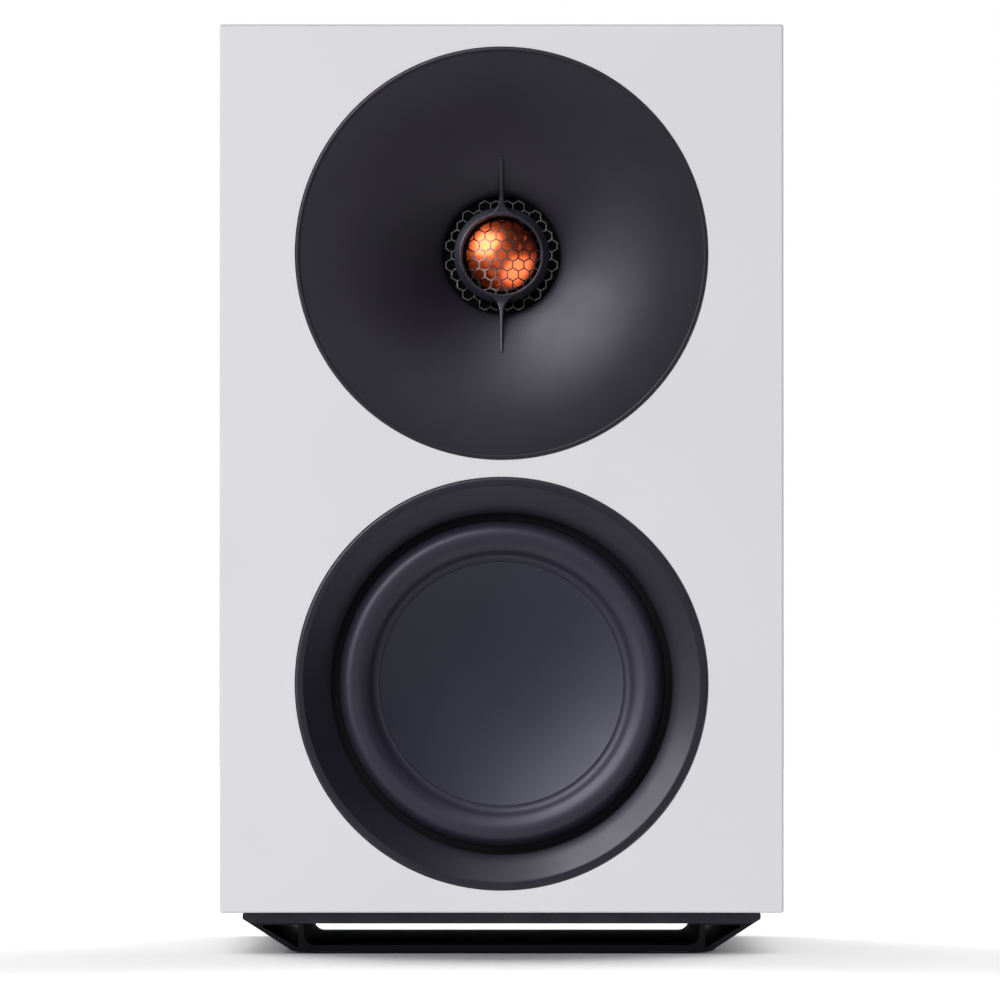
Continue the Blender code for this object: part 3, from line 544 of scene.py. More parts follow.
def add_world():
    """A white backdrop, and a dim even light from all round."""
    world = bpy.data.worlds.new("studio")
    bpy.context.scene.world = world
    world.use_nodes = True
    nodes, links = world.node_tree.nodes, world.node_tree.links
    nodes.clear()
    seen = nodes.new("ShaderNodeBackground")
    seen.inputs["Color"].default_value = (1.0, 1.0, 1.0, 1.0)
    seen.inputs["Strength"].default_value = 1.0
    lit = nodes.new("ShaderNodeBackground")
    lit.inputs["Color"].default_value = (0.975, 0.965, 1.0, 1.0)
    links.new(surroundings(nodes, links), lit.inputs["Strength"])
    path = nodes.new("ShaderNodeLightPath")
    mix = nodes.new("ShaderNodeMixShader")
    output = nodes.new("ShaderNodeOutputWorld")
    links.new(path.outputs["Is Camera Ray"], mix.inputs["Fac"])
    links.new(lit.outputs["Background"], mix.inputs[1])
    links.new(seen.outputs["Background"], mix.inputs[2])
    links.new(mix.outputs["Shader"], output.inputs["Surface"])


def add_floor():
    """A round white sweep, bright enough to vanish into the backdrop."""
    radius, steps = 6.0, 64
    turns = [math.tau * k / steps for k in range(steps)]
    points = [(radius * math.cos(turn), radius * math.sin(turn), 0) for turn in turns]
    mesh = bpy.data.meshes.new("floor")
    mesh.from_pydata(points, [], [tuple(range(steps))])
    material = bpy.data.materials.new("floor")
    material.use_nodes = True
    shader = material.node_tree.nodes["Principled BSDF"]
    shader.inputs["Base Color"].default_value = (0.86, 0.86, 0.86, 1.0)
    shader.inputs["Roughness"].default_value = 0.9
    shader.inputs["Specular IOR Level"].default_value = 0.0
    mesh.materials.append(material)
    floor = new_object("floor", mesh)
    floor.visible_diffuse = False
    floor.visible_glossy = False
    floor.visible_shadow = False
    return floor


def add_flag():
    """A dark card under the speaker, unseen, that keeps the light of the surroundings off its underside."""
    x, z, front, back = 0.078, 0.0001, FRONT_Y * MM - 0.006, PLINTH_HIGH.y * MM
    mesh = bpy.data.meshes.new("flag")
    mesh.from_pydata([(-x, front, z), (x, front, z), (x, back, z), (-x, back, z)], [], [(0, 1, 2, 3)])
    mesh.materials.append(MATERIALS["painted_shade_black"])
    flag = new_object("flag", mesh)
    flag.visible_camera = False
    return flag


def link_group(name, objects, state):
    group = bpy.data.collections.new(name)
    for obj in objects:
        group.objects.link(obj)
    for entry in group.collection_objects:
        entry.light_linking.link_state = state
    return group


def only(lamp, objects, lit=True, unshaded_by=()):
    """Makes a lamp light only these objects, or everything but them, through the things named."""
    state = "INCLUDE" if lit else "EXCLUDE"
    lamp.light_linking.receiver_collection = link_group(f"{lamp.name}_receivers", objects, state)
    if unshaded_by:
        lamp.light_linking.blocker_collection = link_group(f"{lamp.name}_unshaded", unshaded_by, "EXCLUDE")


PANEL_DISTANCE = 3.0
PANEL_SIZE = 1.4
PANELS = (  # (name, degrees off the front's axis, degrees round it from the right, radiance)
    ("key_top", 78, 120, 7.56), ("key_left", 78, 150, 5.34), ("edge_left", 78, 180, 0.51),
    ("edge_top", 78, 90, 1.15),
    ("wash_top", 54, 108, 3.32), ("wash_corner", 54, 144, 4.65), ("wash_left", 54, 180, 1.37),
    ("side_right", 54, 0, 0.23), ("side_top", 54, 72, 0.43), ("side_low", 54, 324, 0.19),
    ("front_right", 28, 0, 0.40), ("front_top", 28, 60, 0.62),
)
LOW_PANELS = (("low_left", 78, 240, 0.36), ("low_middle", 78, 270, 0.51), ("low_right", 78, 300, 0.41))
WHITE_PANELS = (  # the same, for the lacquered pieces alone
    ("white_high_left", 28, 120, 4.80), ("white_left", 28, 180, 1.85), ("white_low_left", 28, 240, 5.05),
    ("white_low_right", 28, 300, 0.20), ("white_high_right", 28, 60, 0.30),
)
# (name, where the lamp is, its distance, its size, its radiance)
FILLS = (("rear_fill", (0.35, 0.80, 0.55), 2.6, 2.2, 3.0), ("right_fill", (0.95, 0.45, 0.35), 2.4, 1.6, 1.6))
WHITE_FILL = ("left_fill", (-0.95, 0.45, 0.35), 2.4, 1.6, 1.3)
DOME_LAMPS = (
    ("dome_left", (-0.51, -0.707, 0.49), 1.2, 1.0, 5.4),
    ("dome_right", (0.57, -0.68, -0.46), 1.2, 1.25, 2.1),
)
RING_GLINT = ("ring_glint", (-0.70, -0.56, 0.44), 0.050, 0.03, 4.0)
FLOOR_LIGHTS = (  # (name, where the light comes from, power, angle of the sun's disc in degrees)
    ("floor_light_back", (0.0, 0.61, 0.79), 2.3, 78),
    ("floor_light_left", (-0.50, 0.83, 0.25), 5.2, 42),
    ("floor_light_right", (0.50, 0.83, 0.25), 5.2, 42),
)


def aim(off_axis, around):
    """Direction of something seen from the speaker's front, by angles in degrees."""
    off_axis, around = math.radians(off_axis), math.radians(around)
    return math.sin(off_axis) * math.cos(around), -math.cos(off_axis), math.sin(off_axis) * math.sin(around)


def panel_lamp(name, off_axis, around, radiance):
    """One of the large panels round the front."""
    return softbox(name, aim(off_axis, around), PANEL_DISTANCE, PANEL_SIZE, radiance)


def add_lights(floor, flag, white, stand, dome_piece, mesh, ring):
    """Each lamp, and what it is kept off or kept to."""
    for panel in PANELS:
        only(panel_lamp(*panel), [floor, dome_piece, *white], lit=False)
    for panel in WHITE_PANELS:
        only(panel_lamp(*panel), white)
    only(softbox(*WHITE_FILL), white)
    for fill in FILLS:
        only(softbox(*fill), [floor], lit=False)
    for panel in LOW_PANELS:
        only(panel_lamp(*panel), [floor, stand, *white], lit=False)
    near_floor = Vector((0.0, FRONT_Y * MM - 0.07, 0.0))
    bounce = softbox("floor_bounce", (0, 0.001, -1), 0.01, 0.8, 0.36, near_floor, height=0.12)
    only(bounce, [floor, stand, *white], lit=False)
    for name, towards, power, disc in FLOOR_LIGHTS:
        sun = bpy.data.lights.new(name, "SUN")
        sun.energy = power
        sun.angle = math.radians(disc)
        lamp = new_object(name, sun)
        lamp.rotation_euler = Vector(towards).to_track_quat("Z", "Y").to_euler()
        only(lamp, [floor], unshaded_by=[flag])
    for lamp in DOME_LAMPS:
        only(softbox(*lamp), [dome_piece], unshaded_by=[ring, mesh])
    throat = Vector((TWEETER_AXIS[0], FRONT_Y + RING_BACK, TWEETER_AXIS[1])) * MM
    only(softbox(*RING_GLINT, throat), [ring], unshaded_by=[mesh])
    bpy.context.scene.view_settings.view_transform = "Standard"


# ---------------------------------------------------------------- cabinet


def cabinet_loop(inset, depth, radius=EDGE_ROUND):
    """A ring of points round the cabinet at a depth, drawn in by inset."""
    low, high = CABINET_BOTTOM + inset, CABINET_TOP - inset
    points = rounded_rectangle(HALF_WIDTH - inset, low, high, max(radius - inset, 0.25))
    return [(x, FRONT_Y + depth, z) for x, z in points]


def quarter(radius, depth, inwards=1, steps=5):
    """(inset, depth) pairs that round an edge between a side and a face."""
    pairs = []
    for k in range(steps + 1):
        angle = math.pi / 2 * k / steps
        pairs.append((radius * (1 - math.sin(angle)), depth + inwards * radius * (1 - math.cos(angle))))
    return pairs


def front_baffle():
    """The lacquered front: round outer edges, and for each driver a hole with a slightly broken edge."""
    rings = [cabinet_loop(i, d) for i, d in quarter(EDGE_ROUND, 0.0)]
    rings += [cabinet_loop(0.0, BAFFLE - SEAM), cabinet_loop(SEAM, BAFFLE)]
    baffle = add_piece("front_baffle_lacquered", *loft(rings, caps=True), MATERIALS["white_lacquer"], body=None)
    rebate, broken, tiny = RIM_RADIUS + 0.3, 0.25, 0.01
    mouth = rebate + broken + tiny
    rim_shelf, basket_radius, basket_shelf = 5.3, 69.1, 15.3
    entry = [(0.0, -PAST), (mouth, -PAST), (mouth, -tiny), (rebate, broken), (rebate, rim_shelf)]
    basket_seat = [(basket_radius, rim_shelf), (basket_radius, basket_shelf)]
    holes = ((TWEETER_AXIS, 60.0, [], rim_shelf), (WOOFER_AXIS, 60.9, basket_seat, basket_shelf))
    cuts = []
    for axis, inner, seat, shelf in holes:
        profile = entry + seat + [(inner, shelf), (inner, BAFFLE + PAST), (0.0, BAFFLE + PAST)]
        cuts.append(cutter(*spin_mesh(profile, FINE_STEPS, axis, closed=False)))
    combine(baffle, cuts)
    crisp(baffle, 50)
    flatten_shading(baffle)
    place_on(baffle, ROOT, ["front_baffle"])
    return baffle


def cabinet_sleeve():
    """Top, bottom and sides as one lacquered skin, mitred so finely that no joint shows."""
    rear_round = 0.8
    outer = [(SEAM, BAFFLE), (0.0, BAFFLE + SEAM), *reversed(quarter(rear_round, REAR_FACE, -1))]
    rings = [cabinet_loop(i, d) for i, d in outer]
    rings += [cabinet_loop(WALL, REAR_FACE), cabinet_loop(WALL, BAFFLE)]
    verts, faces = loft(rings)
    sleeve = add_piece("cabinet_sleeve", verts, faces, MATERIALS["white_lacquer"], body=None, sharp=50.0)
    flatten_shading(sleeve)
    panels = ["top_panel", "bottom_panel", "left_side_panel", "right_side_panel"]
    place_on(sleeve, ROOT, panels)
    return sleeve


def rear_panel():
    """The inset back, with a fine shadow line round it."""
    gap, edge, corner = 0.3, 0.5, 1.6
    inner_depth = box_mm("rear_panel")[0].y - FRONT_Y
    rings = [cabinet_loop(WALL + gap + i, d, corner) for i, d in quarter(edge, REAR_FACE, -1)]
    rings.append(cabinet_loop(WALL + gap, inner_depth, corner))
    panel = add_piece("rear_panel_lacquered", *loft(rings, caps=True), MATERIALS["white_lacquer"], body=None)
    start, end = REAR_FACE - 30, REAR_FACE + 10
    opening = rectangle(49.0, 37.0, (0.0, axis_of("terminal_plate")[1]))
    port = spin_mesh(bore(27.8, start, end), TURN_STEPS, TWEETER_AXIS, closed=False)
    combine(panel, [cutter(*port), cutter(*prism_mesh(opening, (start, end)))])
    crisp(panel, 50)
    flatten_shading(panel)
    place_on(panel, ROOT, ["rear_panel"])
    return panel


# ---------------------------------------------------------------- waveguide and tweeter

HORN_RADIUS = 72.6
THROAT_RADIUS = 21.4
HORN_START = -0.4
HORN_DISH, HORN_POWER = 20.9, 2.05
THROAT_FLARE, THROAT_POWER = 0.7, 20
RING_INNER, RING_OUTER, RING_FRONT, RING_BACK = 14.0, 17.1, 17.0, 22.5
FIN_TIP = 35.6


def horn_depth(radius):
    """Depth of the waveguide's front surface."""
    share = max((HORN_RADIUS - radius) / (HORN_RADIUS - THROAT_RADIUS), 0.0)
    return HORN_START + HORN_DISH * share**HORN_POWER + THROAT_FLARE * share**THROAT_POWER


def waveguide():
    """The horn, its rolled lip with a fine step inside it, and the round edge of its throat."""
    rings, last = 60, THROAT_RADIUS + 0.5
    radii = [HORN_RADIUS + (last - HORN_RADIUS) * k / rings for k in range(rings + 1)]
    lip = rounded([(RIM_RADIUS, 4.0), (RIM_RADIUS, -RIM_PROUD, 0.7), (73.0, -RIM_PROUD, 0.25),
                   (72.9, HORN_START, 0.1), (60.0, HORN_START)])[1:-1]
    horn = [(r, horn_depth(r)) for r in radii]
    end = horn_depth(last)
    recess, recess_depth, boss, boss_depth = 24.2, 22.6, 36.0, 24.2
    throat = [(THROAT_RADIUS + 0.12, end + 0.5), (THROAT_RADIUS, end + 1.1), (THROAT_RADIUS, recess_depth),
              (recess, recess_depth), (recess, boss_depth), (boss, boss_depth), (boss, horn_depth(boss) + 4.5)]
    skin = [(r, horn_depth(r) + 3.6) for r in (44.0, 52.0)]
    back = [(59.0, 5.0), (RIM_RADIUS, 5.0)]
    profile = lip + horn + throat + skin + back
    turned("waveguide_horn", profile, MATERIALS["black_plastic"], TWEETER_AXIS, FINE_STEPS,
           stands_for=["waveguide"], slot="black_plastic", sharp=40.0)


def fin_half_width(radius):
    """Half the width of a fin, which flares into the ring."""
    return 0.62 + 3.0 * math.exp(-(radius - RING_OUTER + 1.6) / 1.9)


def fin_mesh(up):
    """A thin blade from the ring to the point where the horn's surface meets it."""
    tip = horn_depth(FIN_TIP) - 0.45
    root = RING_FRONT + 0.25
    steps = 40
    start = RING_INNER + 0.8
    rows = []
    for k in range(steps + 1):
        r = start + (FIN_TIP - start) * k / steps
        share = max(r - RING_OUTER, 0.0) / (FIN_TIP - RING_OUTER)
        front = root + (tip - root) * share
        floor = min(horn_depth(max(r, THROAT_RADIUS)), RING_BACK) - 0.2
        back = max(floor, front + 0.25)
        width = fin_half_width(r) if k < steps else 0.3
        corners = rounded([(-width, back), (-width, front, 0.5), (width, front, 0.5), (width, back)], 4)
        rows.append([(TWEETER_AXIS[0] + x, FRONT_Y + d, TWEETER_AXIS[1] + up * r) for x, d in corners])
    return loft(rows, caps=True)


def bridge_ring():
    """The ring in front of the dome and its two fins, run together as one moulding."""
    inner, outer = RING_INNER + 0.2, RING_OUTER + 0.3  # the smoothing below draws the outer edge in
    profile = rounded([
        (inner, RING_BACK - 0.4), (inner, RING_FRONT + 0.1, 0.5), (inner + 0.8, RING_FRONT, 0.7),
        (outer, RING_FRONT + 2.1, 0.9), (outer - 0.5, RING_BACK, 0.4), (inner + 0.5, RING_BACK, 0.4),
    ])
    ring = turned("bridge_ring_moulding", profile, MATERIALS["trim_plastic"], TWEETER_AXIS, 160, body=None)
    combine(ring, [cutter(*fin_mesh(1)), cutter(*fin_mesh(-1))], "UNION")
    remesh = ring.modifiers.new("run_together", "REMESH")
    remesh.mode = "VOXEL"
    remesh.voxel_size = 0.22 * MM
    remesh.use_smooth_shade = True
    smooth = ring.modifiers.new("settle", "SMOOTH")
    smooth.factor = 0.5
    smooth.iterations = 8
    apply_modifiers(ring)
    ring.data.shade_smooth()
    ring.data.materials.clear()
    ring.data.materials.append(MATERIALS["trim_plastic"])
    place_on(ring, ROOT, ["tweeter_bridge_ring"])
    return ring


PITCH = 4.03
WIRE = 0.5
MESH_THICK = 0.75
MESH_FLAT = 22.1
MESH_DOME_RADIUS = 14.0
MESH_DOME_HEIGHT = 5.6
FURTHEST_CELL = 21  # squared distance from the middle, in pitches


def mesh_depth(radius):
    """Depth of the front of the mesh: a dome in the middle that eases into a flatter edge."""
    return MESH_FLAT - MESH_DOME_HEIGHT * max(1 - (radius / MESH_DOME_RADIUS) ** 2, 0.0)


def hex_centres():
    rise = math.sqrt(3) / 2
    for row in range(-6, 7):
        for column in range(-6, 7):
            x = column + 0.5 * (row % 2)
            if x * x + (row * rise) ** 2 <= FURTHEST_CELL + 0.01:
                yield x * PITCH, row * rise * PITCH


def grille():
    """The honeycomb, pressed from one thin sheet, on a near-black plate, painted shade, that closes it outside
    the dome.
    """
    bm = bmesh.new()
    corners = {}
    side = PITCH / math.sqrt(3)

    def corner(x, z):
        key = (round(x, 2), round(z, 2))
        if key not in corners:
            corners[key] = bm.verts.new((x, 0.0, z))
        return corners[key]

    for cx, cz in hex_centres():
        angles = [math.radians(30 + 60 * k) for k in range(6)]
        bm.faces.new([corner(cx + side * math.cos(a), cz + side * math.sin(a)) for a in angles])
    bm.normal_update()
    cells = bm.faces[:]
    bmesh.ops.inset_individual(bm, faces=cells, thickness=WIRE / 2, use_even_offset=True)
    bmesh.ops.delete(bm, geom=cells, context="FACES_ONLY")
    outer = set(corners.values())
    outline = [e for e in bm.edges if e.is_boundary and all(v in outer for v in e.verts)]
    made = bmesh.ops.extrude_edge_only(bm, edges=outline)
    for v in [g for g in made["geom"] if isinstance(g, bmesh.types.BMVert)]:
        radius = math.hypot(v.co.x, v.co.z)
        v.co.x *= (radius + WIRE / 2) / radius
        v.co.z *= (radius + WIRE / 2) / radius
    made = bmesh.ops.extrude_face_region(bm, geom=bm.faces[:])
    for v in [g for g in made["geom"] if isinstance(g, bmesh.types.BMVert)]:
        v.co.y += MESH_THICK
    for v in bm.verts:
        v.co.y += mesh_depth(math.hypot(v.co.x, v.co.z))
    verts = [(v.co.x + TWEETER_AXIS[0], v.co.y + FRONT_Y, v.co.z + TWEETER_AXIS[1]) for v in bm.verts]
    bm.verts.index_update()
    faces = [[v.index for v in f.verts] for f in bm.faces]
    bm.free()
    honeycomb = add_piece("tweeter_honeycomb", verts, faces, MATERIALS["dark_mesh"], body=None)
    soften_edges(honeycomb, 0.2, 3, 50.0)
    place_on(honeycomb, ROOT, ["tweeter_grille"])
    # The plate's near-black colour is painted shade in the ring round the dome.
    plate = rounded([(13.5, 22.95, 0.2), (23.9, 22.95, 0.2), (23.9, 23.9, 0.2), (13.5, 23.9, 0.2)], 3)
    turned("tweeter_grille_plate", plate, MATERIALS["painted_shade_black"], TWEETER_AXIS, slot="black_plastic")
    return honeycomb


def dome():
    """The copper-coloured diaphragm: a polished dome with a shallow dimple in its middle."""
    base, rise, crest, dimple, edge = 23.4, 4.7, 5.0, 0.25, 12.8
    steps = 40

    def depth(radius):
        curve = base - rise * (1 - (radius / edge) ** 2)
        return curve + dimple * 0.5 * (1 + math.cos(math.pi * min(radius / crest, 1.0)))

    radii = [edge * k / steps for k in range(steps + 1)]
    front = [(r, depth(r)) for r in radii]
    back = [(max(r - 0.2 * r / edge, 0.0), depth(r) + 0.3) for r in reversed(radii)]
    return turned("tweeter_dome_polished", front + back, MATERIALS["copper_dome"], TWEETER_AXIS, TURN_STEPS,
           body=TWEETER_BODY, stands_for=["tweeter_dome"], slot="copper_dome", sharp=60.0)


def tweeter_surround():
    steps = 16
    middle, half = 14.1, 1.2
    angles = [math.pi * k / steps for k in range(steps + 1)]
    outer = [(middle + half * math.cos(a), 25.3 - 0.9 * math.sin(a)) for a in angles]
    inner = [(middle + (half - 0.3) * math.cos(a), 25.6 - 0.8 * math.sin(a)) for a in angles]
    profile = [(16.4, 25.3), *outer, *reversed(inner), (16.4, 25.65)]
    roll = turned("tweeter_surround_roll", profile, MATERIALS["rubber"], TWEETER_AXIS, body=None)
    follow(roll, "tweeter_surround")


def follow(obj, node):
    """Fixes a suspension's mesh where it stands, on no body, and hides the CAD node it stands for."""
    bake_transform(obj)
    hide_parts(node)


# ---------------------------------------------------------------- woofer


def trim_ring():
    """The trim ring: a rolled outer lip, a narrow land, a broad bevel and a stepped inner edge."""
    points = [(RIM_RADIUS, 4.8, 0.2), (RIM_RADIUS, -RIM_PROUD, 0.75), (71.5, -RIM_PROUD, 0.2),
              (71.2, -0.45, 0.12), (61.7, 7.5, 0.25), (61.9, 9.0, 0.2), (62.6, 9.0), (66.4, 5.0),
              (RIM_RADIUS - 0.2, 5.0)]
    turned("woofer_trim_moulding", rounded(points), MATERIALS["trim_plastic"], WOOFER_AXIS, FINE_STEPS,
           stands_for=["woofer_trim_ring"], slot="black_plastic", sharp=40.0)


def surround():
    """The rubber half-roll, with a flange outside it and a step down to the cone inside it."""
    seat, thick, crest, lip = 12.1, 0.6, 53.4, 58.75
    roll_front = [
        (lip, 11.6), (58.6, 10.4), (58.3, 9.0), (57.8, 7.55), (57.2, 6.3), (56.6, 5.42), (56.0, 4.85),
        (55.4, 4.44), (54.8, 4.17), (54.2, 4.02), (53.6, 3.96), (52.9, 3.97), (52.2, 4.06), (51.5, 4.24),
        (50.9, 4.48), (50.4, 4.74), (49.9, 5.05), (49.3, 5.46), (48.7, 5.92), (48.2, 6.38), (47.8, 6.85),
        (47.4, 7.55), (47.0, 8.3), (46.6, 8.92), (46.2, 9.36), (45.8, 9.68), (45.3, 9.96), (44.8, 10.1),
        (44.2, 10.15),
    ]
    roll_back = [(r + 0.09 * (crest - r), d + thick) for r, d in roll_front[1:-8]]
    rim, ridge = 62.4, seat - 0.25
    flange = rounded([(rim, seat), (60.9, seat), (60.7, ridge, 0.1), (60.3, ridge, 0.1), (60.1, seat),
                      (58.9, seat, 0.3), (lip, 11.6, 0.2)])[1:]
    foot = [(44.2, 10.6), (46.6, 10.6), (48.0, 9.8)]
    profile = [(rim, seat), *flange, *roll_front[1:], *foot, *reversed(roll_back), (58.0, seat + 0.5),
               (rim, seat + 0.5)]
    rubber = MATERIALS["rubber"]
    roll = turned("woofer_surround_roll", profile, rubber, WOOFER_AXIS, FINE_STEPS, body=None, sharp=50.0)
    # Faces outside 58.5 mm, the flange and the outside of the roll down in the gap under the trim ring, take
    # the darker rubber: painted shade in the gap.
    roll.data.materials.append(MATERIALS["rubber_painted_shade"])
    for face in roll.data.polygons:
        centre = face.center / MM
        reach = math.hypot(centre.x - WOOFER_AXIS[0], centre.z - WOOFER_AXIS[1])
        face.material_index = int(reach > 58.5)
    follow(roll, "woofer_surround")


CONE_EDGE = 44.1
CONE_EDGE_DEPTH, CONE_DISH = 10.1, 10.4


def cone_depth(radius):
    """Depth of the cone's front surface."""
    return CONE_EDGE_DEPTH + CONE_DISH * (1 - (radius / CONE_EDGE) ** 2)


def cone():
    """The shallow dished cone, pressed in one piece without a dust cap."""
    steps = 36
    radii = [44.0 * k / steps for k in range(steps + 1)]
    front = [(r, cone_depth(r)) for r in radii]
    edge = [(44.05, 10.8), (46.8, 10.9), (46.8, 11.6), (43.6, 11.6)]
    back = [(r, cone_depth(r) + 0.9) for r in reversed(radii[:-3])]
    turned("woofer_cone_pressed", front + edge + back, MATERIALS["cone_graphite"], WOOFER_AXIS, FINE_STEPS,
           body=WOOFER_BODY, stands_for=["woofer_cone"], slot="cone_graphite", sharp=40.0)


def spider():
    """The corrugated spider, finely waved."""
    waves, first, last, level = 8, 18.0, 39.0, 29.2
    steps = 64
    radii = [first + (last - first) * k / steps for k in range(steps + 1)]
    wave = [level - 1.2 * math.cos(math.pi * waves * k / steps) for k in range(steps + 1)]
    front = [(16.7, level - 0.3), *zip(radii, wave), (44.0, level + 0.1)]
    back = [(r, d + 0.55) for r, d in reversed(front)]
    disc = turned("woofer_spider_waved", front + back, MATERIALS["spider_cloth"], WOOFER_AXIS, body=None)
    follow(disc, "woofer_spider")


# ---------------------------------------------------------------- plinth

PLINTH_LOW, PLINTH_HIGH = box_mm("plinth")


def undercut(end, outwards):
    """A wedge that slopes one end of the plinth inwards below the upright band round its top."""
    band, low, slope = 10.6, -1.0, 0.41
    foot = end - outwards * slope * (band - low)
    far = end + outwards * 20
    section = [(end, band), (foot, low), (far, low), (far, band)]
    return loft([[(x, FRONT_Y + d, z) for d, z in section] for x in (-100, 100)], caps=True)


def plinth():
    """The low stand: sloping sides, a wide tunnel, a hollow in each side and softly broken edges."""
    top, floor = PLINTH_HIGH.z, PLINTH_LOW.z
    edge, foot = PLINTH_HIGH.x, 72.7
    depths = (PLINTH_LOW.y - FRONT_Y, PLINTH_HIGH.y - FRONT_Y)
    right = [(foot - 2.0, floor), (foot + 2.4, floor, 4.5), (edge, top - 1.9, 0.35), (edge, top, 0.2)]
    left = [(-p[0], *p[1:]) for p in reversed(right)]
    section = rounded(right + left)
    body = add_piece("plinth_extrusion", *prism_mesh(section, depths), MATERIALS["anodised"], body=None)
    through = (depths[0] - PAST, depths[1] + PAST)
    width, low, ceiling, corner = 71.3, 2.5, 10.5, 5.0
    broken = 0.4
    tunnel = rounded([(width, low, corner), (width, ceiling, broken), (-width, ceiling, broken),
                      (-width, low, corner)], 8)
    cuts = [cutter(*prism_mesh(tunnel, through))]
    cuts += [cutter(*undercut(depths[0], -1)), cutter(*undercut(depths[1], 1))]
    for side in (-1, 1):
        near, far, roof = side * 73.3, side * 87.2, 10.0
        hollow = rounded([(near, roof, broken), (far, roof, broken), (near, 1.5, broken)], 4)
        cuts.append(cutter(*prism_mesh(hollow, through)))
    for k in range(1, 5):
        x, y = upright_axis(f"plinth_screw_{k}")
        for hole in (bore(2.2, 7.0, 20.0), bore(4.6, -PAST, 7.0), bore(4.2, 9.0, 12.9)):
            cuts.append(cutter(*upright(hole, SMALL_STEPS, x, y - FRONT_Y)))
        x, y = upright_axis(f"foot_pad_{k}")
        cuts.append(cutter(*upright(bore(8.3, -PAST, 1.7), SMALL_STEPS, x, y - FRONT_Y)))
    combine(body, cuts)
    crisp(body, 35)
    soften_edges(body, 0.22, 2, 45.0)
    # The sloped front and back below the band, and the faces inside the tunnel, take the darker rubber: painted
    # shade under the stand.
    body.data.materials.append(MATERIALS["rubber_painted_shade"])
    band = 10.45
    for face in body.data.polygons:
        faces_along, inside = abs(face.normal.y) > 0.6, abs(face.center.x) / MM < width + 0.3
        face.material_index = int(face.center.z / MM < band and (faces_along or inside))
    place_on(body, ROOT, ["plinth"])
    return body


def foot_pads():
    pad = rounded([(0.0, 0.0), (8.0, 0.0, 0.4), (8.0, 1.4, 0.2), (0.0, 1.4)])
    for k in range(1, 5):
        x, y = upright_axis(f"foot_pad_{k}")
        verts, faces = upright(pad, SMALL_STEPS, x, y - FRONT_Y)
        add_piece(f"foot_pad_soft_{k}", verts, faces, MATERIALS["rubber"], stands_for=[f"foot_pad_{k}"],
                  slot="rubber")


# ---------------------------------------------------------------- back


def port_tube():
    """The bass port, with a smooth flare and a round-edged flange."""
    steps, inside, outside, flange_radius = 30, 18.0, 20.0, 34.0
    first, start, face = 140.0, 240.0, REAR_FACE + 2.8
    shares = [k / steps for k in range(steps + 1)]
    flare = [(inside + 9.0 * share**2.4, start + (face - 0.3 - start) * share) for share in shares]
    seat = REAR_FACE + 0.3
    flange = rounded([
        (outside, first, 0.6), (outside, start, 8.0), (21.4, 251.0, 4.0), (27.3, REAR_FACE - 2.0, 0.2),
        (27.3, seat, 0.1), (flange_radius, seat, 0.2), (flange_radius, face, 1.6), (27.6, face, 0.8),
    ])
    profile = [(inside, first + 0.6), *flange, *reversed(flare)]
    turned("port_tube_flared", profile, MATERIALS["black_plastic"], TWEETER_AXIS, FINE_STEPS,
           stands_for=["port_tube"], slot="black_plastic")


def terminal_plate():
    """The terminal plate, with a shallow recess round the posts and a screw at each corner."""
    low, high = box_mm("terminal_plate")
    face = high.y - FRONT_Y
    outline = rounded_rectangle(high.x, low.z, high.z, 6.0, 8)
    plate = add_piece("terminal_plate_moulded", *prism_mesh(outline, (low.y - FRONT_Y, face)),
                      MATERIALS["black_plastic"], body=None)
    post_z = axis_of("post_stud_red")[1]
    recess = rounded_rectangle(30.0, post_z - 13.0, post_z + 13.0, 6.0, 8)
    cuts = [cutter(*prism_mesh(recess, (face - 0.25, face + PAST)))]
    post_hole, screw_seat = bore(3.3, face - 10, face + PAST), bore(3.1, face - 1.0, face + PAST)
    for colour in ("red", "black"):
        cuts.append(cutter(*spin_mesh(post_hole, SMALL_STEPS, axis_of(f"post_stud_{colour}"), closed=False)))
    inset = 6.5
    corners = [(x, z) for x in (-high.x + inset, high.x - inset) for z in (low.z + inset, high.z - inset)]
    for corner in corners:
        cuts.append(cutter(*spin_mesh(screw_seat, SMALL_STEPS, corner, closed=False)))
    combine(plate, cuts)
    crisp(plate, 35)
    soften_edges(plate, 0.35, 3, 45.0)
    place_on(plate, ROOT, ["terminal_plate"])
    for k, corner in enumerate(corners):
        terminal_screw(f"terminal_plate_screw_{k + 1}", corner, face)


def terminal_screw(name, axis, face):
    """A small domed screw with a cross recess."""
    under, head = face - 0.9, 2.8
    profile = rounded([(0.0, under), (head, under, 0.1), (head, face - 0.4, 0.3), (1.6, face + 0.35, 0.8),
                       (0.0, face + 0.45)])
    verts, faces = spin_mesh(profile, SMALL_STEPS, axis, closed=False)
    screw = add_piece(name, verts, faces, MATERIALS["dark_steel"], body=None)
    long, narrow, depths = 1.5, 0.32, (face - 0.35, face + 2)
    slots = [rectangle(long, narrow, axis), rectangle(narrow, long, axis)]
    combine(screw, [cutter(*prism_mesh(outline, depths)) for outline in slots])
    crisp(screw, 35)
    place_on(screw, ROOT)


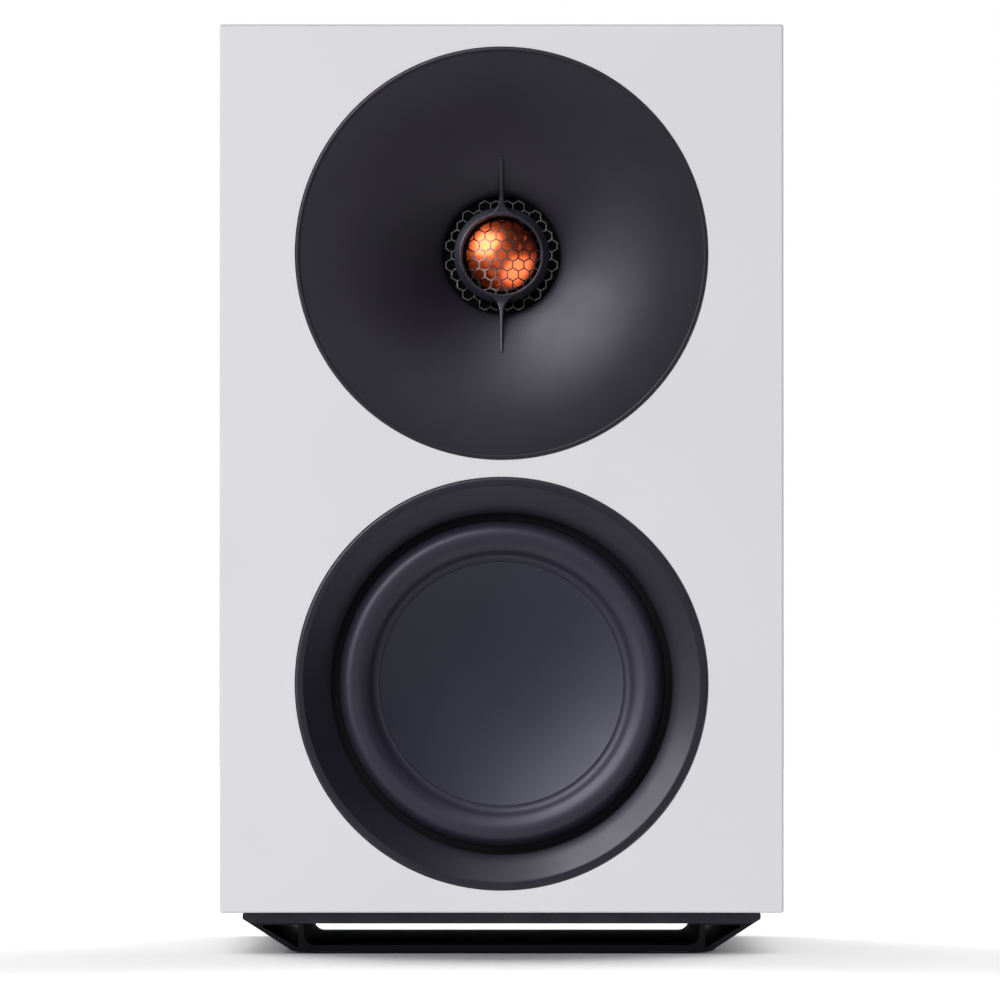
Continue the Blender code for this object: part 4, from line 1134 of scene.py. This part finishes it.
def binding_posts():
    for colour in ("red", "black"):
        x, z = axis_of(f"post_stud_{colour}")
        stud_low, stud_high = box_mm(f"post_stud_{colour}")
        washer_low, washer_high = (v.y - FRONT_Y for v in box_mm(f"post_washer_{colour}"))
        cap_low, cap_high = (v.y - FRONT_Y for v in box_mm(f"post_cap_{colour}"))
        end = stud_high.y - FRONT_Y
        seat = REAR_FACE + 3.6
        start, shank, collar, socket = stud_low.y - FRONT_Y, 2.9, 5.4, 2.05
        stud = rounded([
            (0.0, start), (shank, start, 0.3), (shank, seat), (collar, seat, 0.3), (collar, seat + 2.4, 0.3),
            (shank, seat + 2.4), (shank, end, 0.35), (socket, end, 0.2), (socket, 270.0), (0.0, 270.0),
        ])
        turned(f"post_stud_{colour}_gilt", stud, MATERIALS["brass"], (x, z), SMALL_STEPS,
               stands_for=[f"post_stud_{colour}"], slot="brass")
        bore_radius, rim = 3.3, 5.9
        washer = rounded([(bore_radius, washer_low, 0.2), (rim, washer_low, 0.3), (rim, washer_high, 0.3),
                          (bore_radius, washer_high, 0.2)])
        turned(f"post_washer_{colour}_gilt", washer, MATERIALS["brass"], (x, z), SMALL_STEPS,
               body=f"{colour}_clamp_washer", stands_for=[f"post_washer_{colour}"], slot="brass")
        ribbed_cap(colour, (x, z), cap_low, cap_high)


def ribbed_cap(colour, axis, low, high):
    """A cap with flutes all round for the fingers."""
    profile = rounded([(3.3, low, 0.2), (6.0, low, 0.4), (6.4, low + 0.9, 0.5), (6.4, high - 1.4, 0.7),
                       (5.4, high, 0.5), (3.3, high, 0.3)])
    flutes, steps = 18, 144
    verts, faces = spin_mesh(profile, steps, axis)
    shaped = []
    for x, y, z in verts:
        dx, dz = x - axis[0], z - axis[1]
        radius = math.hypot(dx, dz)
        depth = y - FRONT_Y
        if radius > 5.9 and low + 0.8 < depth < high - 1.0:
            wave = 0.5 + 0.5 * math.cos(flutes * math.atan2(dz, dx))
            scale = 1 - 0.055 * (1 - wave)
            dx, dz = dx * scale, dz * scale
        shaped.append((axis[0] + dx, y, axis[1] + dz))
    slot = f"{colour}_plastic"
    add_piece(f"post_cap_{colour}_fluted", shaped, faces, MATERIALS[slot], f"{colour}_cap",
              stands_for=[f"post_cap_{colour}"], slot=slot)


# ---------------------------------------------------------------- making


def main():
    add_camera()
    add_world()
    floor = add_floor()
    flag = add_flag()
    white = [front_baffle(), cabinet_sleeve(), rear_panel()]
    waveguide()
    add_lights(floor, flag, white, plinth(), dome(), grille(), bridge_ring())
    tweeter_surround()
    trim_ring()
    surround()
    cone()
    spider()
    foot_pads()
    port_tube()
    terminal_plate()
    binding_posts()
    dress_cad_nodes()


main()
